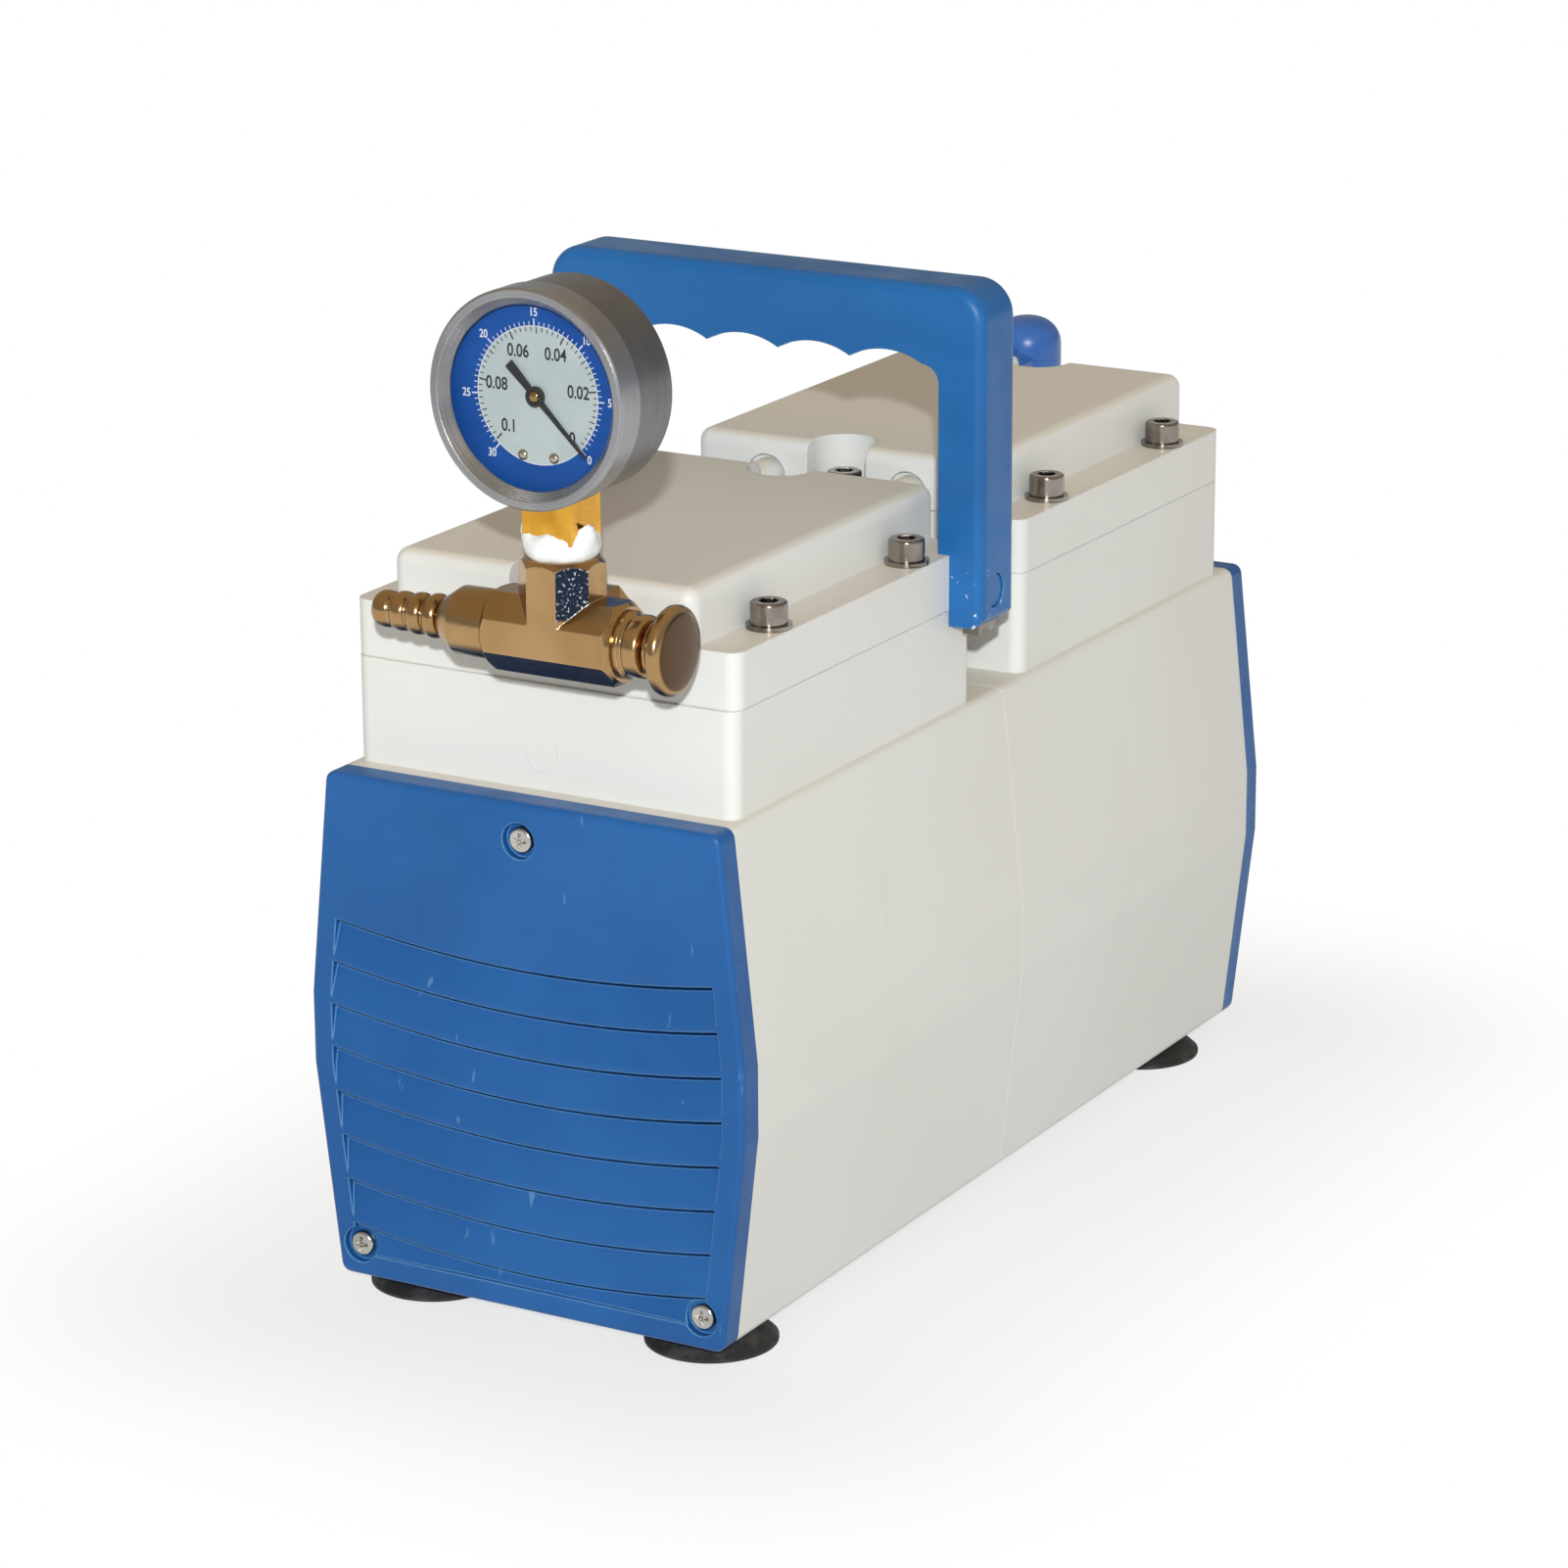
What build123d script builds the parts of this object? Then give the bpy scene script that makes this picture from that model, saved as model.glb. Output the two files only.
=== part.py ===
from build123d import *
import math
import os

# Twin-head diaphragm vacuum pump. Millimetres, +Z up, origin on the floor under the middle of the pump.
# The motor shaft lies along Y. "Front" is the -Y end, with the inlet cross, the gauge and the bleed valve.

os.makedirs("parts", exist_ok=True)

# --- fits and clearances --------------------------------------------------------------------------
SEAT = 0.02            # pieces of one body that are pushed together
RUN = 0.05             # running fits, radial
SOFT = 0.3             # soft or curved neighbours that move past each other
SCREW_CLEAR = 0.3      # clearance holes, radial

# --- housing --------------------------------------------------------------------------------------
LENGTH = 315.0         # over the two end panels
BASE_W = 121.0
BULGE_W = 135.0
SHOULDER_W = 121.7
FOOT_H = 6.5
BAND_LOW = 60.0        # straight band of the bulge, above the underside
BAND_HIGH = 80.0
SHOULDER_H = 143.3
OUTLINE_R = 3.0
WALL = 5.0
PANEL_T = 8.0
PANEL_EDGE_R = 1.6
NECK_W = 117.3
NECK_IN = 14.7         # distance of the neck blocks from the middle plane
NECK_OUT = 144.7
NECK_H = 29.1
NECK_R = 4.0

# --- heads ----------------------------------------------------------------------------------------
FLANGE_W = 118.0
FLANGE_IN = 14.5
FLANGE_OUT = 144.0
FLANGE_T = 15.6
COVER_W = 92.7
COVER_IN = 13.1
COVER_OUT = 144.6
COVER_T = 15.5
COVER_EDGE_R = 4.0
POCKET_R = 9.5
POCKET_SET = 5.0       # screw pocket centre, inside the cover's end faces
SIDE_SCREW_X = 52.7
SIDE_SCREW_Y = 37.5
HEAD_SCREW_R = 3.0
HEAD_SCREW_CAP_R = 5.0
HEAD_SCREW_CAP_H = 6.0
HEAD_SCREW_BITE = 14.0
WASHER_R = 6.2
WASHER_T = 1.2
MANIFOLD_X = (4.0, 36.0)
MANIFOLD_Y = 22.0
MANIFOLD_H = 12.0
HEAD_GASKET_T = 1.0
TRANSFER_X = 23.0
TRANSFER_R = 5.0
TRANSFER_ARCH_R = 6.3
TRANSFER_ARCH = 2.0    # depth of the wider mouth round a tube
TRANSFER_WALL = 1.2
TRANSFER_RISE = 4.0    # tube axis above the flange
TRANSFER_DEPTH = 12.0
PORT_X = 20.6
PORT_RISE = 5.6        # port axis above the flange
PORT_R = 5.0
PORT_DEPTH = 12.0

# --- diaphragms and valves ------------------------------------------------------------------------
BORE_R = 40.0
RIM_R = 46.0
RUBBER_T = 2.5
CLAMP_R = 24.0
CLAMP_T = 3.0
CLAMP_SCREW_R = 4.0
CLAMP_SCREW_HEAD_R = 8.0
CLAMP_SCREW_BITE = 16.0
PLATE_T = 12.0
PLATE_R = 46.5
DISH_TOP_R = 30.0
DISH_H = 8.0
VALVE_X = 15.0
VALVE_R = 10.0
VALVE_T = 1.0
VALVE_STUD_R = 1.6
VALVE_HOLE_R = 2.0
VALVE_HOLE_PCR = 5.5

# --- drive ----------------------------------------------------------------------------------------
SHAFT_H = 70.0         # shaft axis above the underside
SHAFT_R = 7.5
SHAFT_END_R = 7.0
SHAFT_STUB = 0.5       # shaft end past the fan nut
SHOULDER_Y = 53.0      # where the shaft steps down
THROW = 3.5            # eccentricity: the stroke is twice this
MOTOR_HALF = 38.0
WEB_T = 11.0
STATOR_R = 55.0
STATOR_BORE = 31.0
STACK_L = 50.0
AIR_GAP = 0.5
SLOTS = 12
SLOT_W = 7.0
SLOT_IN = 34.0
SLOT_OUT = 47.0
COIL_END = 9.0
END_RING_T = 6.0
SHAFT_BEARING = (17.5, 11.0)      # outer radius, width
CRANK_BEARING = (23.5, 12.0)
CRANK_JOURNAL_R = 12.5
RACE_T = 3.4
BALLS = 7
BALANCE_R = 36.0
BALANCE_T = 11.0
HUB_R = 12.0
SET_SCREW_R = 2.0
ROD_EYE_T = 4.0
ROD_NECK_W = 16.0
ROD_WEB_T = 5.0
ROD_RIB_T = 3.0
ROD_HEAD_R = 13.0
ROD_HEAD_H = 6.0
FAN_R = 42.0
FAN_HUB_R = 13.0
FAN_W = 14.0
FAN_Y = 124.0
BLADES = 7
BLADE_T = 2.0
BLADE_PITCH = 35.0
FAN_NUT_AF = 19.0
FAN_NUT_T = 4.5
CAPACITOR_R = 14.0
CAPACITOR_L = 52.0
CAPACITOR_X = 34.0
CAPACITOR_Y = 58.0

# --- end panels -----------------------------------------------------------------------------------
SLATS = 8
SLAT_PITCH = 12.33
SLAT_LOW = 15.0        # ends of the lowest slot, above the underside
SLAT_SAG = 4.2
SLAT_DEPTH = 2.2
SLOT_H = 1.5
FIELD_MARGIN = 6.5
PANEL_SCREW_R = 2.0
PANEL_SCREW_HEAD_R = 3.6
PANEL_SCREW_HEAD_H = 2.0
PANEL_SCREW_SINK_R = 5.0
PANEL_SCREW_SINK = 2.6
PANEL_SCREW_BITE = 10.0
PANEL_SCREW_DROP = 10.6     # the upper one, below the shoulder
PANEL_SCREW_LOW = (54.0, 9.0)
BOSS_R = 5.0
TIE_X = 48.0
TIE_DROP = 57.0        # tie bolts above and below the shaft axis
TIE_R = 3.0
TIE_BOSS_R = 9.0       # wide enough to run into the housing floor
TIE_HEAD_R = 5.0
TIE_HEAD_H = 6.0
TIE_BITE = 15.0

# --- feet -----------------------------------------------------------------------------------------
FOOT_X = 44.0
FOOT_Y = (-135.0, 125.0)
FOOT_R = 18.25
FOOT_TOP_R = 11.0
FOOT_CUP = 3.0
FOOT_LIP = 1.6
FOOT_SCREW_R = 2.5
FOOT_SCREW_HEAD_R = 4.5
FOOT_SCREW_HEAD_H = 1.8
FOOT_SCREW_BITE = 4.5

# --- handle ---------------------------------------------------------------------------------------
LEG_T = 10.0           # a leg beside the flange
LEDGE_W = 3.5          # the leg's step over the flange
GRIP_FRONT = -29.0
GRIP_DEPTH = 20.0
GRIP_RISE = 59.0       # top of the grip above the heads
GRIP_DROP = 20.0       # legs below the top of the flange
GRIP_H = 22.0          # grip above the finger cusps
GRIP_CORNER_R = 10.0
GRIP_INNER_R = 5.0
GRIP_EDGE_R = 3.0
FINGERS = 4
FINGER_PITCH = 22.6
FINGER_RISE = 3.0
STRAP_T = 5.0
STRAP_W = 13.0
STRAP_SIDE = 2.5       # plastic between the strap and the outer side of a leg
STRAP_OUT = 2.5        # strap end below the grip
STRAP_BEND_R = 7.0
HANDLE_SCREW_DROP = 10.5    # below the top of the flange
HANDLE_SCREW_R = 3.0
HANDLE_SCREW_HEAD_R = 4.5
HANDLE_SCREW_BITE = 12.0

# --- inlet cross, barb, bleed valve ---------------------------------------------------------------
CROSS_Y = -166.0
CROSS_AF = 21.0
CROSS_HALF = 19.5
CROSS_CONE = 2.4
ARM_UP = 21.0
ARM_BACK_AF = 17.0
CROSS_BORE = 4.0
THREAD_R = 6.5
THREAD_L = 10.0
BARB_ROOT_R = 4.1
BARB_CREST_R = 5.3
BARB_BORE = 2.5
BARB_RIDGES = 4
BARB_PITCH = 5.4
BARB_COLLAR_R = 9.0
BARB_COLLAR_L = 6.6
TAPE_R = 7.6
TAPE_H = 4.5
BONNET_R = 7.0
BONNET_L = 9.0
NEEDLE_R = 2.5
NEEDLE_TAPER = 4.0
NEEDLE_SEAT_R = 1.5
BONNET_BORE = 4.0
VENT_R = 1.2
KNOB_R = 11.4
KNOB_L = 12.0
KNOB_NECK_R = 6.5
KNOB_GAP = 0.8         # knob clear of the bonnet when the valve is shut

# --- vacuum gauge ---------------------------------------------------------------------------------
GAUGE_FRONT = -182.3
GAUGE_RISE = 64.4      # gauge centre above the port
GAUGE_R = 28.5
GAUGE_DEPTH = 25.2
CASE_R = 27.9
CASE_WALL = 1.2
BEZEL_L = 9.0
WINDOW_R = 23.8
GLASS_SET = 3.0
GLASS_T = 1.2
DIAL_SET = 6.2
DIAL_T = 0.8
POINTER_T = 0.6
POINTER_GAP = 0.7
POINTER_TIP = 20.5
POINTER_TAIL = 11.0
POINTER_HUB_R = 2.6
ARBOR_R = 1.0
ZERO_ANGLE = -45.0
STEM_AF = 14.5
TUBE_RING_R = 18.0
TUBE_R = 2.0

# --- exhaust silencer -----------------------------------------------------------------------------
SILENCER_R = 10.5
SILENCER_DROP = 17.6   # below and above the port
SILENCER_RISE = 15.4
SILENCER_CAP_H = 12.0
SILENCER_WALL = 1.6
SILENCER_DOME = 0.8    # edge radius of the domed cap, as a share of its radius
NIPPLE_AF = 14.0

# --- mains inlet and switch, on the rear panel ----------------------------------------------------
POWER_X = 28.0
POWER_DROP = 18.8      # centre line below the shoulder
INLET_BODY = (27.0, 19.8, 22.0)    # width, height, depth
INLET_BEZEL = (31.0, 24.0, 2.0)
INLET_CAVITY = (24.0, 16.3, 16.0)
PIN_SIZE = (2.0, 4.0, 11.0)
PIN_SPREAD = 7.0
SWITCH_BODY = (15.0, 23.0, 18.0)
SWITCH_BEZEL = (18.0, 26.0, 2.0)
ROCKER_W = 11.4
ROCKER_R = 10.2
ROCKER_TILT = 10.0
ROCKER_FLARE = 60.0
TRUNNION_R = 1.5
TRUNNION_L = 1.0
PIVOT_SET = 4.5        # rocker pivot inside the bezel's face

# --- derived --------------------------------------------------------------------------------------
BASE_Z = FOOT_H
SHOULDER_Z = BASE_Z + SHOULDER_H
NECK_TOP = SHOULDER_Z + NECK_H
FLANGE_TOP = NECK_TOP + FLANGE_T
HEAD_TOP = FLANGE_TOP + COVER_T
SHAFT_Z = BASE_Z + SHAFT_H
SHAFT_L = 2 * (FAN_Y + FAN_W + FAN_NUT_T + SHAFT_STUB)
PANEL_Y = LENGTH / 2 - PANEL_T
HEAD_Y = (FLANGE_IN + FLANGE_OUT) / 2
WEB_OUT = MOTOR_HALF + WEB_T
PLATE_TOP = NECK_TOP + PLATE_T
MANIFOLD_Z = PLATE_TOP + HEAD_GASKET_T
PORT_Z = FLANGE_TOP + PORT_RISE
TRANSFER_Z = FLANGE_TOP + TRANSFER_RISE
RUBBER_Z = NECK_TOP - RUBBER_T
ROD_TOP = RUBBER_Z - CLAMP_T
GRIP_W = FLANGE_W + 2 * LEG_T
GRIP_INNER_W = FLANGE_W - 2 * LEDGE_W
GRIP_TOP = HEAD_TOP + GRIP_RISE
GRIP_LOW = FLANGE_TOP - GRIP_DROP
GRIP_UNDER = GRIP_TOP - GRIP_H
HANDLE_SCREW_Z = FLANGE_TOP - HANDLE_SCREW_DROP
GAUGE_Z = PORT_Z + GAUGE_RISE
SILENCER_LOW = PORT_Z - SILENCER_DROP
SILENCER_TOP = PORT_Z + SILENCER_RISE
POWER_Z = SHOULDER_Z - POWER_DROP
SIDES = {"front": -1, "rear": 1}


# --- helpers --------------------------------------------------------------------------------------
def block(x0, x1, y0, y1, z0, z1):
    centre = ((x0 + x1) / 2, (y0 + y1) / 2, (z0 + z1) / 2)
    return Pos(*centre) * Box(abs(x1 - x0), abs(y1 - y0), abs(z1 - z0))


def rod_z(radius, z0, z1, x=0.0, y=0.0):
    return Pos(x, y, (z0 + z1) / 2) * Cylinder(radius, abs(z1 - z0))


def rod_y(radius, y0, y1, x=0.0, z=SHAFT_Z):
    return Pos(x, (y0 + y1) / 2, z) * Rot(90, 0, 0) * Cylinder(radius, abs(y1 - y0))


def rod_x(radius, x0, x1, y=0.0, z=0.0):
    return Pos((x0 + x1) / 2, y, z) * Rot(0, 90, 0) * Cylinder(radius, abs(x1 - x0))


def plate_y(sketch, y0, y1):
    """Extrude a sketch, drawn as (x, z), from y0 to y1."""
    return Pos(0, y1, 0) * Rot(90, 0, 0) * extrude(sketch, y1 - y0)


def turned_z(points, x=0.0, y=0.0):
    """Turn a closed (radius, z) outline about a vertical line."""
    profile = Plane.XZ * make_face(Polyline(*points, close=True))
    return Pos(x, y, 0) * revolve(profile, Axis.Z)


def turned_y(points, x=0.0, z=0.0):
    """Turn a closed (radius, y) outline about a line along Y."""
    profile = make_face(Polyline(*points, close=True))
    return Pos(x, 0, z) * revolve(profile, Axis.Y)


def turned_x(points, y=0.0, z=0.0):
    """Turn a closed (x, radius) outline about a line along X."""
    profile = make_face(Polyline(*points, close=True))
    return Pos(0, y, z) * revolve(profile, Axis.X)


def polygon_bar(across_flats, sides, length):
    """An upright bar with a regular section, standing on z = 0, with a flat towards +X."""
    corner_r = across_flats / 2 / math.cos(math.pi / sides)
    return extrude(Rot(0, 0, 180 / sides) * RegularPolygon(corner_r, sides), length)


def at_end(shape, side):
    """Place a shape made for the front end, at -Y, at either end."""
    return shape if side < 0 else mirror(shape, Plane.XZ)


def save(node, *solids):
    shape = solids[0] if len(solids) == 1 else Compound(children=list(solids))
    shape.label = node
    export_step(shape, f"parts/{node}.step")


# --- housing --------------------------------------------------------------------------------------
def outline(inset=0.0):
    """The barrel-shaped section of the housing, as (x, z)."""
    half = [
        (BASE_W / 2, BASE_Z),
        (BULGE_W / 2, BASE_Z + BAND_LOW),
        (BULGE_W / 2, BASE_Z + BAND_HIGH),
        (SHOULDER_W / 2, SHOULDER_Z),
    ]
    face = make_face(Polyline(*half, *[(-x, z) for x, z in reversed(half)], close=True))
    if inset:
        face = offset(face, amount=-inset, kind=Kind.INTERSECTION)
    corners = face.vertices().sort_by(Axis.Y)
    return fillet(corners[:2] + corners[-2:], max(OUTLINE_R - inset, 1.0))


def panel_screw_places():
    low_x, low_z = PANEL_SCREW_LOW
    return [(0, SHOULDER_Z - PANEL_SCREW_DROP), (low_x, BASE_Z + low_z), (-low_x, BASE_Z + low_z)]


def tie_places():
    return [(sx * TIE_X, SHAFT_Z + sz * TIE_DROP) for sx in (-1, 1) for sz in (-1, 1)]


def head_screw_places():
    """(x, y) of the six screws of the front head."""
    side = [(sx * SIDE_SCREW_X, -HEAD_Y + sy * SIDE_SCREW_Y) for sx in (-1, 1) for sy in (-1, 1)]
    return side + [(0, -COVER_OUT + POCKET_SET), (0, -COVER_IN - POCKET_SET)]


def screw_boss(x, z):
    """Boss for a panel screw, joined to the nearest wall of the casting."""
    far = -PANEL_Y + PANEL_SCREW_BITE + WALL
    wall_z = SHOULDER_Z - WALL / 2 if z > SHAFT_Z else BASE_Z + WALL / 2
    boss = rod_y(BOSS_R, -PANEL_Y, far, x, z) + block(x - BOSS_R, x + BOSS_R, -PANEL_Y, far, z, wall_z)
    return boss & plate_y(outline(WALL / 2), -PANEL_Y, far)


def motor_cores():
    """The hollow corners round the motor barrel, with a boss for each tie bolt."""
    cores = plate_y(outline(WALL), -MOTOR_HALF, 1) - rod_y(STATOR_R + WALL, -WEB_OUT, 2)
    for x, z in tie_places():
        cores -= rod_y(TIE_BOSS_R, -WEB_OUT, 2, x, z)
    return cores


def neck_core():
    """The hollow of the neck round the diaphragm bore, with a boss for each head screw."""
    half = NECK_W / 2 - WALL
    roof = RUBBER_Z - WALL
    core = block(-half, half, -NECK_OUT + WALL, -NECK_IN - WALL, SHOULDER_Z - 2 * WALL, roof)
    core -= rod_z(BORE_R + WALL, SHOULDER_Z - 3 * WALL, roof + 1, y=-HEAD_Y)
    for x, y in head_screw_places():
        core -= rod_z(HEAD_SCREW_R + WALL, SHOULDER_Z - 3 * WALL, roof + 1, x, y)
    return core & block(-half, half, -PANEL_Y, -WEB_OUT, 0, roof)


def body_casting(side):
    """Half of the housing, with the neck block that carries its head."""
    shell = plate_y(outline(), -PANEL_Y, 0)
    neck = block(-NECK_W / 2, NECK_W / 2, -NECK_OUT, -NECK_IN, SHOULDER_Z - WALL, NECK_TOP)
    neck = fillet(neck.edges().filter_by(Axis.Z), NECK_R)
    casting = shell + neck
    casting -= plate_y(outline(WALL), -PANEL_Y - 1, -WEB_OUT)
    casting -= motor_cores()
    casting -= neck_core()
    casting -= rod_y(STATOR_R + SEAT, -MOTOR_HALF, 1)
    casting -= rod_y(SHAFT_BEARING[0] + SEAT, -WEB_OUT - 1, -MOTOR_HALF + 1)
    casting -= rod_z(BORE_R, SHOULDER_Z - 2 * WALL, NECK_TOP + 1, y=-HEAD_Y)
    casting -= rod_z(RIM_R + SEAT, RUBBER_Z, NECK_TOP + 1, y=-HEAD_Y)
    for x, z in panel_screw_places():
        casting += screw_boss(x, z)
        casting -= rod_y(PANEL_SCREW_R + SEAT, -PANEL_Y - 1, -PANEL_Y + PANEL_SCREW_BITE, x, z)
    for x, y in head_screw_places():
        casting -= rod_z(HEAD_SCREW_R + SEAT, NECK_TOP - HEAD_SCREW_BITE, NECK_TOP + 1, x, y)
    hole_r = TIE_R + (SCREW_CLEAR if side < 0 else SEAT)
    for x, z in tie_places():
        casting -= rod_y(hole_r, -WEB_OUT - 1, 1, x, z)
    for x in (-FOOT_X, FOOT_X):
        foot_y = FOOT_Y[0] if side < 0 else -FOOT_Y[1]
        casting -= rod_z(FOOT_SCREW_R + SEAT, BASE_Z - 1, BASE_Z + FOOT_SCREW_BITE, x, foot_y)
    return at_end(casting, side)


def tie_bolts():
    """Four socket bolts that pull the two castings together at the middle."""
    bolts = []
    for x, z in tie_places():
        head = rod_y(TIE_HEAD_R, -WEB_OUT - TIE_HEAD_H, -WEB_OUT, x, z)
        socket = Pos(x, -WEB_OUT - TIE_HEAD_H, z) * Rot(-90, 0, 0) * polygon_bar(TIE_R * 1.6, 6, TIE_R)
        bolts.append(head + rod_y(TIE_R, -WEB_OUT, TIE_BITE, x, z) - socket)
    return bolts


# --- end panels -----------------------------------------------------------------------------------
def slat_cutter(end_height):
    """One louvre step: a long slope and the slot above it, bent to a shallow smile."""
    half_chord = BASE_W / 2 - FIELD_MARGIN
    bend_r = (half_chord**2 + SLAT_SAG**2) / (2 * SLAT_SAG)
    low_z = BASE_Z + end_height - SLAT_SAG
    face_y = -LENGTH / 2
    step = [
        (face_y - 1, low_z),
        (face_y + PANEL_T + 1, low_z),
        (face_y + PANEL_T + 1, low_z - SLOT_H),
        (face_y + SLAT_DEPTH, low_z - SLOT_H),
        (face_y, low_z - SLAT_PITCH + SLOT_H),
        (face_y - 1, low_z - SLAT_PITCH + SLOT_H),
    ]
    profile = Plane.YZ * make_face(Polyline(*step, close=True))
    centre = Axis((0, 0, low_z + bend_r), (0, 1, 0))
    sweep_deg = 2 * math.degrees(math.asin(BULGE_W / 2 / bend_r))
    return revolve(profile.rotate(centre, -sweep_deg / 2), centre, sweep_deg)


def end_panel(side):
    """Louvred end panel, screwed on with three sunk screws."""
    face_y = -LENGTH / 2
    panel = plate_y(outline(), face_y, face_y + PANEL_T)
    panel = fillet(panel.edges().group_by(Axis.Y)[0], PANEL_EDGE_R)
    field = plate_y(outline(FIELD_MARGIN), face_y - 2, face_y + PANEL_T + 2)
    for index in range(SLATS):
        panel -= slat_cutter(SLAT_LOW + index * SLAT_PITCH) & field
    for x, z in panel_screw_places():
        panel -= rod_y(PANEL_SCREW_R + SCREW_CLEAR, face_y - 1, face_y + PANEL_T + 1, x, z)
        panel -= rod_y(PANEL_SCREW_SINK_R, face_y - 1, face_y + PANEL_SCREW_SINK, x, z)
    panel = at_end(panel, side)
    if side > 0:
        for sign, (width, height, _) in ((-1, INLET_BODY), (1, SWITCH_BODY)):
            half = width / 2 + SEAT
            x = sign * POWER_X
            z = POWER_Z
            rise = height / 2 + SEAT
            panel -= block(x - half, x + half, PANEL_Y - 1, LENGTH / 2 + 1, z - rise, z + rise)
    return panel


def panel_screws():
    seat_y = -LENGTH / 2 + PANEL_SCREW_SINK
    slot_w = PANEL_SCREW_R / 2
    screws = []
    for x, z in panel_screw_places():
        head = rod_y(PANEL_SCREW_HEAD_R, seat_y - PANEL_SCREW_HEAD_H, seat_y, x, z)
        head = fillet(head.edges().group_by(Axis.Y)[0], PANEL_SCREW_HEAD_H / 2)
        shank = rod_y(PANEL_SCREW_R, seat_y, -PANEL_Y + PANEL_SCREW_BITE - 1, x, z)
        cross_y = seat_y - PANEL_SCREW_HEAD_H
        cross = Box(slot_w, PANEL_SCREW_HEAD_H, 2 * PANEL_SCREW_R) + Box(
            2 * PANEL_SCREW_R, PANEL_SCREW_HEAD_H, slot_w
        )
        screws.append(head + shank - Pos(x, cross_y, z) * cross)
    return screws + [at_end(screw, 1) for screw in screws]


# --- heads ----------------------------------------------------------------------------------------
def head(side):
    """Pump head: screw flange, raised cover, valve chamber and gas ways."""
    flange = block(-FLANGE_W / 2, FLANGE_W / 2, -FLANGE_OUT, -FLANGE_IN, NECK_TOP, FLANGE_TOP)
    flange = fillet(flange.edges().filter_by(Axis.Z), NECK_R)
    cover = block(-COVER_W / 2, COVER_W / 2, -COVER_OUT, -COVER_IN, FLANGE_TOP, HEAD_TOP)
    cover = fillet(cover.edges().group_by(Axis.Z)[-1] + cover.edges().filter_by(Axis.Z), COVER_EDGE_R)
    shape = flange + cover
    shape -= rod_z(PLATE_R + SEAT, NECK_TOP - 1, MANIFOLD_Z, y=-HEAD_Y)
    x_in, x_out = MANIFOLD_X
    for sx in (-1, 1):
        shape -= block(
            sx * x_in, sx * x_out, -HEAD_Y - MANIFOLD_Y, -HEAD_Y + MANIFOLD_Y,
            MANIFOLD_Z - 1, MANIFOLD_Z + MANIFOLD_H,
        )
        seat = rod_y(TRANSFER_R + SEAT, -COVER_IN - TRANSFER_DEPTH, 0, sx * TRANSFER_X, TRANSFER_Z)
        way = rod_y(TRANSFER_R - TRANSFER_WALL, -HEAD_Y, 0, sx * TRANSFER_X, TRANSFER_Z)
        arch = rod_y(TRANSFER_ARCH_R, -COVER_IN - TRANSFER_ARCH, 0, sx * TRANSFER_X, TRANSFER_Z)
        shape -= seat + way + arch
    for y_face, inward in ((-COVER_OUT, 1), (-COVER_IN, -1)):
        y = y_face + inward * POCKET_SET
        shape -= rod_z(POCKET_R, FLANGE_TOP, HEAD_TOP + 1, y=y)
        shape -= block(-POCKET_R, POCKET_R, y, y_face - inward, FLANGE_TOP, HEAD_TOP + 1)
    for x, y in head_screw_places():
        shape -= rod_z(HEAD_SCREW_R + SCREW_CLEAR, NECK_TOP - 1, FLANGE_TOP + 1, x, y)
    port_x = -side * PORT_X
    shape -= rod_y(PORT_R + SEAT, -COVER_OUT - 1, -COVER_OUT + PORT_DEPTH, port_x, PORT_Z)
    shape -= rod_y(CROSS_BORE, -COVER_OUT - 1, -HEAD_Y - MANIFOLD_Y + 1, port_x, PORT_Z)
    if side < 0:
        for x in (-FLANGE_W / 2, FLANGE_W / 2):
            inner = x - math.copysign(HANDLE_SCREW_BITE, x)
            shape -= rod_x(HANDLE_SCREW_R + SEAT, inner, 1.1 * x, *handle_screw_line())
    return at_end(shape, side)


def head_screw(x, y):
    low = NECK_TOP - HEAD_SCREW_BITE + 1
    seat = FLANGE_TOP + WASHER_T
    top = seat + HEAD_SCREW_CAP_H
    cap = rod_z(HEAD_SCREW_CAP_R, seat, top, x, y)
    cap = fillet(cap.edges().group_by(Axis.Z)[-1], HEAD_SCREW_CAP_H / 8)
    socket = Pos(x, y, top - HEAD_SCREW_R) * polygon_bar(HEAD_SCREW_R * 5 / 3, 6, HEAD_SCREW_R + 1)
    return cap + rod_z(HEAD_SCREW_R, low, seat, x, y) - socket


def head_screws():
    screws = [head_screw(x, y) for x, y in head_screw_places()]
    return screws + [at_end(screw, 1) for screw in screws]


def head_washers():
    washers = []
    for x, y in head_screw_places():
        ring = rod_z(WASHER_R, FLANGE_TOP, FLANGE_TOP + WASHER_T, x, y)
        washers.append(ring - rod_z(HEAD_SCREW_R + SCREW_CLEAR, FLANGE_TOP - 1, FLANGE_TOP + 2, x, y))
    return washers + [at_end(washer, 1) for washer in washers]


def transfer_tubes():
    """Two tubes that join the inlet ways and the outlet ways of the heads."""
    reach = COVER_IN + TRANSFER_DEPTH - SEAT
    tubes = []
    for x in (-TRANSFER_X, TRANSFER_X):
        tube = rod_y(TRANSFER_R, -reach, reach, x, TRANSFER_Z)
        tubes.append(tube - rod_y(TRANSFER_R - TRANSFER_WALL, -reach - 1, reach + 1, x, TRANSFER_Z))
    return tubes


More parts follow.
